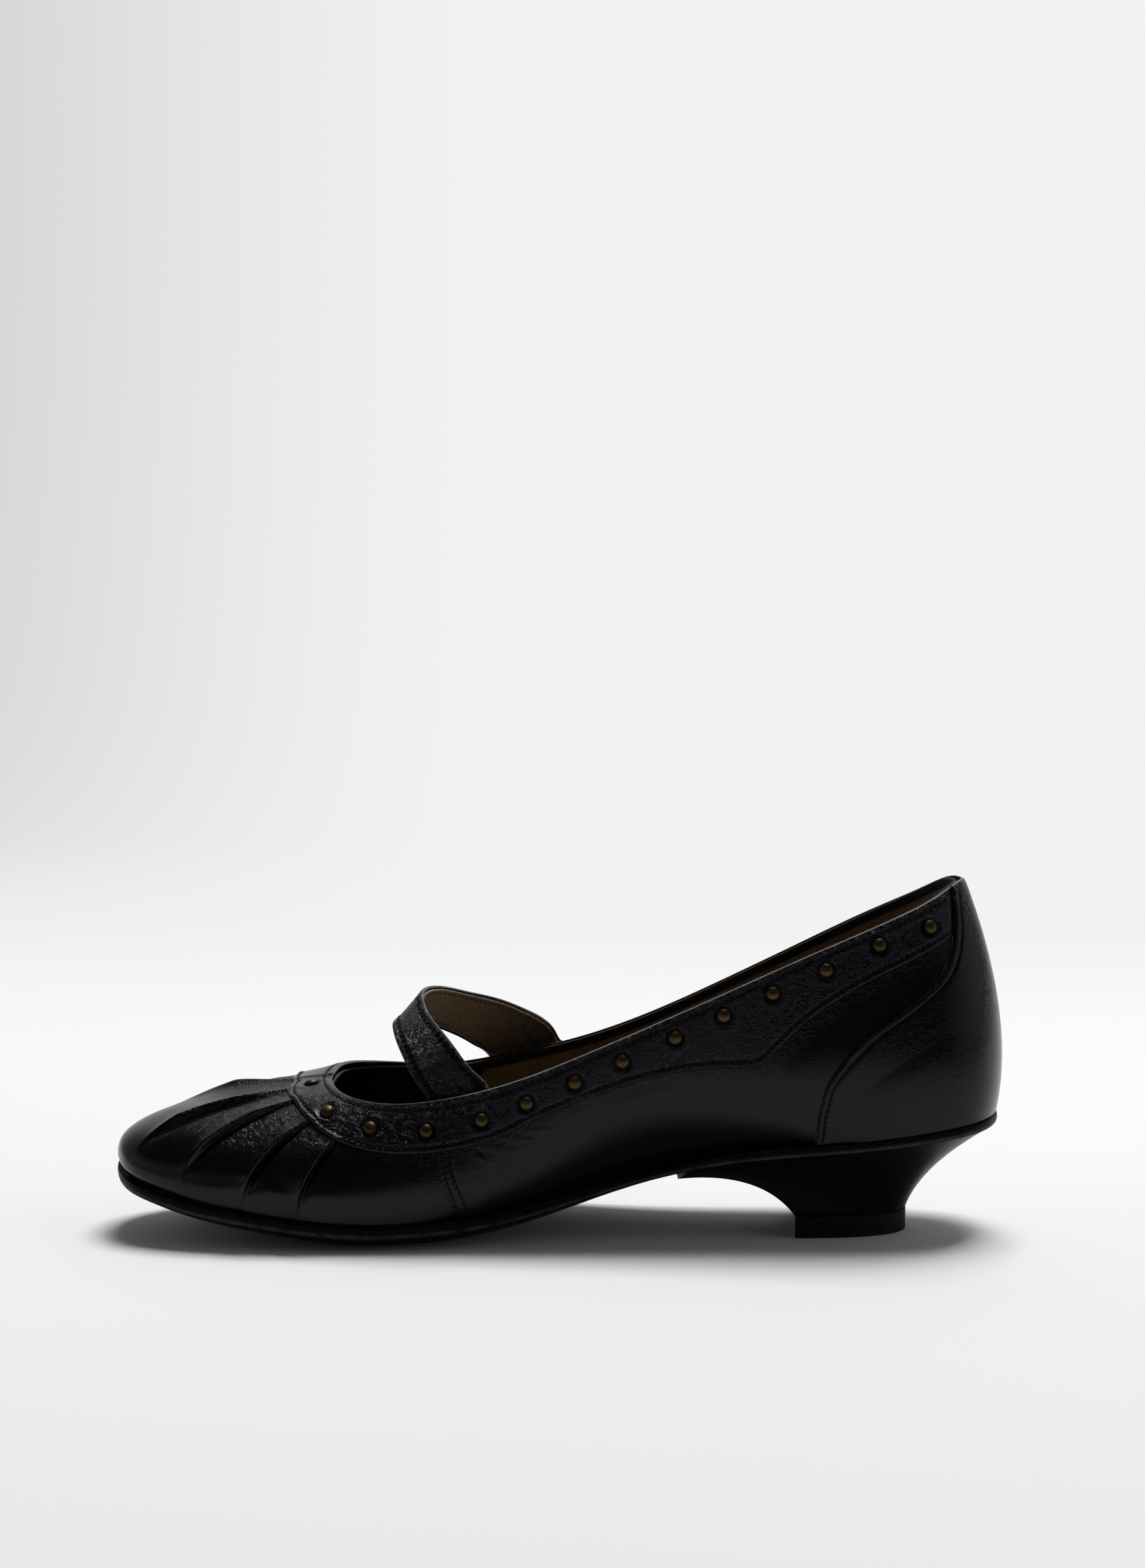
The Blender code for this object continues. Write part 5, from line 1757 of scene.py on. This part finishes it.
@dataclass
class InnerLining:
    """What shows inside: a dark facing below the topline, the tan lining, and the sock on the insole."""

    facing_depth: Sequence[tuple[float, float]] = ((0.0, 22.0), (5.6, 20.0), (6.6, 2.6), (15.0, 2.6))
    facing: float = 0.5
    sock_inset: float = 2.1
    spread: Array = field(default_factory=lambda: np.linspace(0, RAY_COUNT, 560, endpoint=False)[:, None])

    def skin(self, name: str, depth: Array, outside: float, inside: float, stock: Stock, wear_and_shade: bool) -> Piece:
        """A sheet inside the wall, from the topline down.

        Args:
            name: the piece's name.
            depth: millimetres below the topline, a row for each ray.
            outside: height of the face against the wall.
            inside: height of the face that shows.
            stock: its finish.
            wear_and_shade: whether it is darker towards the bottom.

        Returns:
            The piece.
        """
        u = self.spread
        t = LAST.below_top(u, depth)
        base = LAST.surface(u, t)
        edge = np.minimum(depth, np.abs(depth - depth[:, -1:]))
        wave = 0.16 * unevenness(base, 15.0, 3.0) + 0.07 * unevenness(base, 6.0, 6.0)
        centre = (outside + inside) / 2
        share = rounded(edge, 0.3)
        shown = LAST.surface(u, t, centre + (inside - centre - wave * soft_step(edge / 3)) * share)
        hidden = LAST.surface(u, t[:, ::4], centre + (outside - centre) * share[:, ::4])
        hidden[:, 0], hidden[:, -1] = shown[:, 0], shown[:, -1]
        rings = slab_rings(shown, hidden)
        rim = (0.0 if wear_and_shade else 0.3) * (depth < 0.25)
        # Darker towards the bottom of the lining.
        darker_low = 0.2 + 0.7 * soft_step((0.35 - t) / 0.3) if wear_and_shade else np.zeros_like(t)
        marks = carried_round(rings, {"edge": rim, "wear_and_shade": darker_low, "wrinkle": np.full_like(t, 0.4)}, {})
        return dress(swept(name, rings, True, marks), stock)

    def sock(self) -> Piece:
        """The sock on the insole, pressed by the foot.

        Returns:
            The piece.
        """
        u = np.linspace(0, RAY_COUNT, 480, endpoint=False)[:, None]
        share = np.array([0, 0.12, 0.26, 0.4, 0.54, 0.67, 0.79, 0.88, 0.94, 0.975, 0.99, 1.0])[None]
        outline, spine = sole_edge(u, -self.sock_inset), sole_spine(u, -self.sock_inset, 22, 226)
        plan = spine + share[..., None] * (outline - spine)
        level = sole_levels(plan[..., 0], plan[..., 1])[0]
        print_of_foot = (0.5 * hump(np.hypot(plan[..., 0] - 205, plan[..., 1]), 20)
                         + 0.5 * hump(np.hypot(plan[..., 0] - 78, plan[..., 1]), 24))
        top = level + 0.5 + 2.0 * rounded(1.001 - share, 0.02) - 0.8 * print_of_foot * rounded(1.001 - share, 0.3)
        rings = np.hstack([raised(plan, top), raised(plan, level + 0.45)[:, ::-1]])
        wear_and_shade = np.clip(0.15 + print_of_foot, 0, 1)
        marks = {"wear_and_shade": across(np.hstack([wear_and_shade, wear_and_shade[:, ::-1]]))}
        return dress(swept("sock_lining", across(rings), False, marks), Stock.SOCK, "insole")

    def build(self) -> list[Piece]:
        """Lining, facing, facing stitches and sock.

        Returns:
            The pieces.
        """
        deep = np.array([0, .1, .3, .7, 1.5, 3, 5, *np.linspace(7, 60, 26)])[None]
        full = LAST.depth_at(self.spread, 0.0) - 1.0
        deep = np.minimum(deep * np.where(deep > 20, full / 60, 1.0), full)
        lining = self.skin("quarter_lining", deep, -1.03, -1.5, Stock.LINING, True)
        width = np.interp(outer_ray(self.spread), *np.array(self.facing_depth).T)
        share = np.array([0, .01, .03, .07, .14, .24, .36, .48, .60, .72, .82, .90, .95, .98, 1])[None]
        inner = self.skin("collar_facing", width * share, -1.52, -1.52 - self.facing, Stock.FACING, False)
        u = np.linspace(0, RAY_COUNT, 1800)
        t = LAST.below_top(u, 1.5)
        rows = [Line(LAST.surface(u, t, -1.52 - self.facing - 0.02), -LAST.normal(u, t))]
        return [lining, inner, sew("facing_stitches", rows), self.sock()]


@dataclass
class Outsole:
    """The thin leather sole with its rim, and the groove where the upper is drawn in."""

    columns: int = 760
    lip: float = 0.5

    def build(self) -> list[Piece]:
        """The sole.

        Returns:
            The piece.
        """
        u = np.linspace(0, RAY_COUNT, self.columns, endpoint=False)[:, None]
        edge, spine = sole_edge(u), sole_spine(u, RIM, 20, 228)
        inward = np.array([0.0, 0.04, 0.12, 0.3, 0.6, 1.1, 1.8, 2.8, 4.5, 7.5, 12.0])
        reach = np.linalg.norm(edge - spine, axis=-1)
        shares = np.hstack([1 - inward[None] / reach, (1 - 12.0 / reach) * np.linspace(0.85, 0, 9)[None]])
        plan = spine + shares[..., None] * (edge - spine)
        top, bottom = sole_levels(plan[..., 0], plan[..., 1])
        away = (1 - shares) * reach
        top = top - 0.22 * (1 - rounded(away, 0.5)) + 0.12 * hump(away - 0.5, 0.35) - 0.35 * hump(away - 1.75, 0.45)
        thick = top[:, :1] - bottom[:, :1]
        under = bottom + 0.45 * (1 - rounded(away, 0.7)) * (thick > 0.6)
        upper, lower = raised(plan, top)[:, ::-1], raised(plan, under)
        wall_share = np.array([0.12, 0.3, 0.5, 0.7, 0.88])[None, :, None]
        belly = 0.16 * np.sin(math.pi * wall_share) * LAST.outward(u, "feather")
        wall = upper[:, -1:] * (1 - wall_share) + lower[:, :1] * wall_share + belly
        rings = np.hstack([upper, wall, lower])
        mark_edge = np.zeros(rings.shape[:2])
        first = upper.shape[1] - 1
        mark_edge[:, first - 2:first + 1] = 0.42
        mark_edge[:, first + 4:first + 8] = 0.62
        tread = soft_step((3.0 - rings[..., 2]) / 2.5) * (np.arange(rings.shape[1]) > first + 10)
        marks = {"edge": across(mark_edge), "tread": across(tread)}
        return [dress(swept("outsole_leather_skin", across(rings), False, marks), Stock.SOLE, "outsole")]


@dataclass
class CurvedHeel:
    """The heel block in its leather cover, with a thin lip forward under the waist, and its top piece."""

    front_x: tuple[float, float] = (190.6, 192.8)
    back_x: float = 222.9
    half_width: float = 19.0
    inset: float = 0.9
    roundness: float = 0.77
    lip_ray: float = 8.99
    lip_droop: float = 1.3
    droop_ends: float = 0.03
    top_piece: float = 6.0
    rubbed: float = 0.6
    foot_ease: float = 0.35
    turns: int = 60
    levels: int = 44

    def outline(self, turn: Array, side: int) -> Array:
        """One side of the heel's D-shaped foot, from its front corner at turn 0 to the middle of the back at 1.

        Args:
            turn: how far round, 0 to 1.
            side: -1 for the medial side, 1 for the lateral one.

        Returns:
            Level places.
        """
        angle = turn * np.pi / 2
        front_x = self.front_x[side > 0]
        x = front_x + (self.back_x - front_x) * np.sin(angle) ** self.roundness
        return np.stack([x, side * self.half_width * np.abs(np.cos(angle)) ** self.roundness], axis=-1)

    def seat_level(self, x: Array, y: Array, turn: Array) -> Array:
        """Height of the seat: close under the sole, but for the lip that hangs free of it."""
        return sole_levels(x, y)[1] - 0.12 - self.lip_droop * np.clip(1 - turn / self.droop_ends, 0, 1) ** 1.3

    def seat(self, turn: Array, side: int) -> Array:
        """Plan of the heel's seat under the sole's edge, on the medial side at -1 or the lateral at 1."""
        ray = np.mod(-side * (self.lip_ray + (HEEL_RAY - self.lip_ray) * turn), RAY_COUNT)
        return sole_edge(ray) - self.inset * LAST.outward(ray, "feather")[..., :2]

    def turn_steps(self, count: int) -> Array:
        """Turns from a front corner to the middle of the back, closer together at the corner."""
        return 1 - np.cos(np.linspace(0, np.pi / 2, count))

    def turns_round(self, front: int) -> Array:
        """Turn of each column: back along the medial side, forward along the lateral one, across the front."""
        turn = self.turn_steps(self.turns)
        return np.concatenate([turn, turn[-2::-1], np.zeros(front)])

    def ring(self, level: float, shares: Array) -> Array:
        """One ring of the block, its foot at level 0 and its seat at level 1.

        Args:
            level: 0 at the foot, 1 at the seat.
            shares: places across the front.

        Returns:
            Points.
        """
        turn = self.turn_steps(self.turns)
        rest = shares[::-1, None]
        sides = [(line(turn, -1), line(turn, 1)) for line in (self.outline, self.seat)]
        foot, seat = (np.concatenate([medial, lateral[-2::-1], medial[0] * (1 - rest) + lateral[0] * rest])
                      for medial, lateral in sides)
        turns = self.turns_round(len(shares))
        at_front = (1 - turns) ** 4
        bend = foot + (0.18 + 0.11 * at_front)[:, None] * (seat - foot)
        seat_z = self.seat_level(seat[:, 0], seat[:, 1], turns)
        foot_z = self.top_piece + 0.22
        bend_z = foot_z + (0.50 + 0.66 * at_front) * (seat_z - foot_z)
        a, b = 1 - level, level
        plan = a**2 * foot + 2 * a * b * bend + b**2 * seat
        height = a**2 * foot_z + 2 * a * b * bend_z + b**2 * seat_z
        return raised(plan, height)

    def build(self) -> list[Piece]:
        """Block and top piece.

        Returns:
            The pieces.
        """
        shares = np.linspace(0, 1, 25)[1:-1]
        level = np.concatenate([[0, 0.004, 0.012], np.linspace(0.03, 0.985, self.levels), [0.994, 1.0]])
        rings = np.array([self.ring(step, shares) for step in level])
        pull = self.foot_ease * (1 - rounded(np.minimum(level * 22, 1.0), 0.3))[:, None, None]
        away = rings[:, :, :2] - rings[:, :, :2].mean(axis=1, keepdims=True)
        rings[:, :, :2] -= pull * unit(away)
        rings = np.vstack([self.cap(rings[0]), rings, self.cap(rings[-1], True)[::-1]])
        block = swept("heel_cover_leather", rings, False, {"wrinkle": np.full(rings.shape[:2], 0.15)})
        return [dress(block, Stock.HEEL, "heel_block"), self.build_top_piece()]

    def cap(self, ring: Array, seat: bool = False) -> Array:
        """Rings that close an end, drawn in to its middle.

        Args:
            ring: the end ring.
            seat: whether the end is the seat, which is curved.

        Returns:
            The rings, from the middle out.
        """
        centre = (ring.min(axis=0) + ring.max(axis=0))[:2] / 2
        turns = self.turns_round(len(ring) - 2 * self.turns + 1)
        made = []
        for share in (0.0, 0.06, 0.35, 0.7, 0.9):
            middle = ring.copy()
            middle[:, :2] = centre + (ring[:, :2] - centre) * share
            if seat:
                middle[:, 2] = self.seat_level(middle[:, 0], middle[:, 1], 1 - (1 - turns) * share)
            made.append(middle)
        return np.array(made)

    def build_top_piece(self) -> Piece:
        """The wearing piece: the heel's outline drawn up, its edges eased.

        Returns:
            The piece.
        """
        turn = self.turn_steps(40)
        outline = np.array([*self.outline(turn, -1), *self.outline(turn, 1)[-2::-1]])
        piece = new_primitive(bpy.ops.mesh.primitive_circle_add, "top_piece_rubber", vertices=len(outline),
                              radius=1.0, fill_type="NGON")
        flat = placed(np.insert(outline, 2, 0.0, axis=1))
        piece.data.vertices.foreach_set("co", flat.ravel())
        rise = {"value": (0, 0, self.top_piece * MM)}
        in_edit_mode(piece, lambda: bpy.ops.mesh.extrude_region_move(TRANSFORM_OT_translate=rise))
        in_edit_mode(piece, lambda: bpy.ops.mesh.normals_make_consistent(inside=False))
        ease = piece.modifiers.new("eased_edges", "BEVEL")
        ease.width, ease.segments, ease.limit_method, ease.angle_limit = 0.35 * MM, 3, "ANGLE", math.radians(60)
        select_only(piece)
        bpy.ops.object.modifier_apply(modifier=ease.name)
        paint(piece, "edge", 0.55 * (corners(piece)[:, 2] < self.rubbed * MM))
        return dress(piece, Stock.TOP_PIECE, "top_piece", crisp=40.0)


# ---------------- the studio


@dataclass
class Studio:
    """A pale sweep of paper, soft light from behind and above, and a low, close camera."""

    camera_place: tuple[float, float, float] = (0.00344, -1.0388, 0.2166)
    camera_pitch: float = 5.0
    focal: float = 85.0
    paper_front: float = -3.2
    paper_length: float = 6.5
    floor_length: float = 4.2
    bend: float = 0.5
    half_width: float = 3.5
    key_place: tuple[float, float, float] = (0.40, 0.98, 2.70)
    key_size: tuple[float, float] = (1.2, 1.3)
    key_power: float = 80.0

    def camera(self) -> None:
        """The camera, level and turned a little down."""
        lens = bpy.data.cameras.new("camera")
        lens.lens, lens.sensor_fit, lens.sensor_height, lens.sensor_width = self.focal, "VERTICAL", 36.0, 36.0
        lens.clip_start, lens.clip_end = 0.05, 50.0
        seen = bpy.data.objects.new("camera", lens)
        seen.location = self.camera_place
        seen.rotation_euler = (math.radians(90 - self.camera_pitch), 0.0, 0.0)
        bpy.context.scene.collection.objects.link(seen)
        bpy.context.scene.camera = seen

    def paper_finish(self) -> Material:
        """White paper that glows towards the back, less so far to the left and beside the view.

        Returns:
            The material.
        """
        tree = Dressing("sweep_paper")
        x, y, z = tree.add("SeparateXYZ", Vector=tree.place).outputs
        glow = tree.span(y, 0.06, 0.70)
        left = tree.times(tree.span(x, -0.55, -0.02, 1.0, 0.0), tree.span(y, 0.40, 1.30))
        aside = tree.math("MAXIMUM", tree.span(x, 0.55, 1.25), tree.span(x, -1.4, -0.6, 1.0, 0.0))
        aside = tree.times(aside, tree.span(z, 0.0, 0.12))
        shine = tree.mix(left, opaque((0.885, 0.885, 0.888)), opaque((0.62, 0.62, 0.65)))
        tree.plain(Base_Color=tree.mix(glow, opaque((0.86, 0.853, 0.858)), opaque((0.0, 0.0, 0.0))),
                   Emission_Color=tree.mix(aside, shine, opaque((0.22, 0.22, 0.22))), Emission_Strength=glow,
                   Roughness=0.9, Specular_IOR_Level=0.0)
        return tree.made

    def sweep(self) -> None:
        """Floor and background in one curved sheet of paper."""
        paper = new_primitive(bpy.ops.mesh.primitive_grid_add, "paper_sweep", x_subdivisions=40,
                              y_subdivisions=160, size=2)
        across, along = corners(paper)[:, 0], corners(paper)[:, 1]
        run = (along + 1) / 2 * self.paper_length
        turn = np.clip((run - self.floor_length) / self.bend, 0, math.pi / 2)
        past = np.maximum(run - self.floor_length - self.bend * math.pi / 2, 0)
        y = self.paper_front + np.minimum(run, self.floor_length) + self.bend * np.sin(turn)
        z = self.bend * (1 - np.cos(turn)) + past
        points = np.stack([across * self.half_width, y, z], axis=1)
        paper.data.vertices.foreach_set("co", points.ravel())
        paper.data.materials.append(self.paper_finish())
        bpy.ops.object.shade_smooth()

    def key(self) -> None:
        """One large soft light, hung behind and above the shoe and aimed at it."""
        made = bpy.data.lights.new("key_behind", "AREA")
        made.shape, made.size, made.size_y, made.energy = "RECTANGLE", *self.key_size, self.key_power
        lamp = bpy.data.objects.new("key_behind", made)
        lamp.location = self.key_place
        lamp.rotation_euler = Vector(self.key_place).to_track_quat("Z", "Y").to_euler()
        bpy.context.scene.collection.objects.link(lamp)

    def surroundings(self) -> None:
        """A pale room that is dark behind the camera."""
        world = bpy.data.worlds.new("studio")
        world.use_nodes = True
        bpy.context.scene.world = world
        tree = Tree(world.node_tree)
        back = world.node_tree.nodes["Background"]
        x, y, z = tree.add("SeparateXYZ", Vector=tree.add("TexCoord").outputs["Generated"]).outputs
        low = tree.times(tree.span(z, 0.0, 0.15), tree.span(z, 0.3, 0.6, 1.0, 0.0))
        aside = tree.math("MAXIMUM", tree.span(x, -0.95, -0.15, 0.44, 0.0), tree.span(x, 0.70, 0.98, 0.0, 0.6))
        above = tree.math("MAXIMUM", tree.span(z, 0.78, 0.95, 0.0, 0.22), 0.06)
        glow = tree.math("MAXIMUM", tree.times(aside, low), above)
        path = tree.add("LightPath").outputs
        soft = tree.math("ADD", tree.span(y, -0.1, 0.5, 0.015, 0.12), tree.span(x, 0.45, 0.95, 0.0, 0.70))
        soft = tree.math("ADD", soft, tree.span(x, -0.95, -0.45, 0.40, 0.0))
        strength = tree.add("Mix", {"data_type": "FLOAT"}, i0=path["Is Glossy Ray"], i2=soft, i3=glow).outputs[0]
        strength = tree.add("Mix", {"data_type": "FLOAT"}, i0=path["Is Camera Ray"], i2=strength, i3=0.88)
        tree.put(back.inputs["Strength"], strength.outputs[0])
        back.inputs["Color"].default_value = (1.0, 0.995, 1.0, 1)

    def build(self) -> None:
        """Camera, sweep, light and surroundings."""
        self.camera()
        self.sweep()
        self.key()
        self.surroundings()
        bpy.context.scene.view_settings.view_transform = "Standard"


def main() -> None:
    """Builds the studio and every sub-assembly of the shoe."""
    logging.basicConfig(level=logging.INFO, format="%(name)s %(message)s")
    Studio().build()
    for part in (ShoeUpper(), CollarBand(), HeelCounter(), InstepStrap(), InnerLining(), Outsole(), CurvedHeel()):
        made = part.build()
        log.info("%s: %s", type(part).__name__, ", ".join(piece.name for piece in made))


if __name__ == "__main__":
    main()
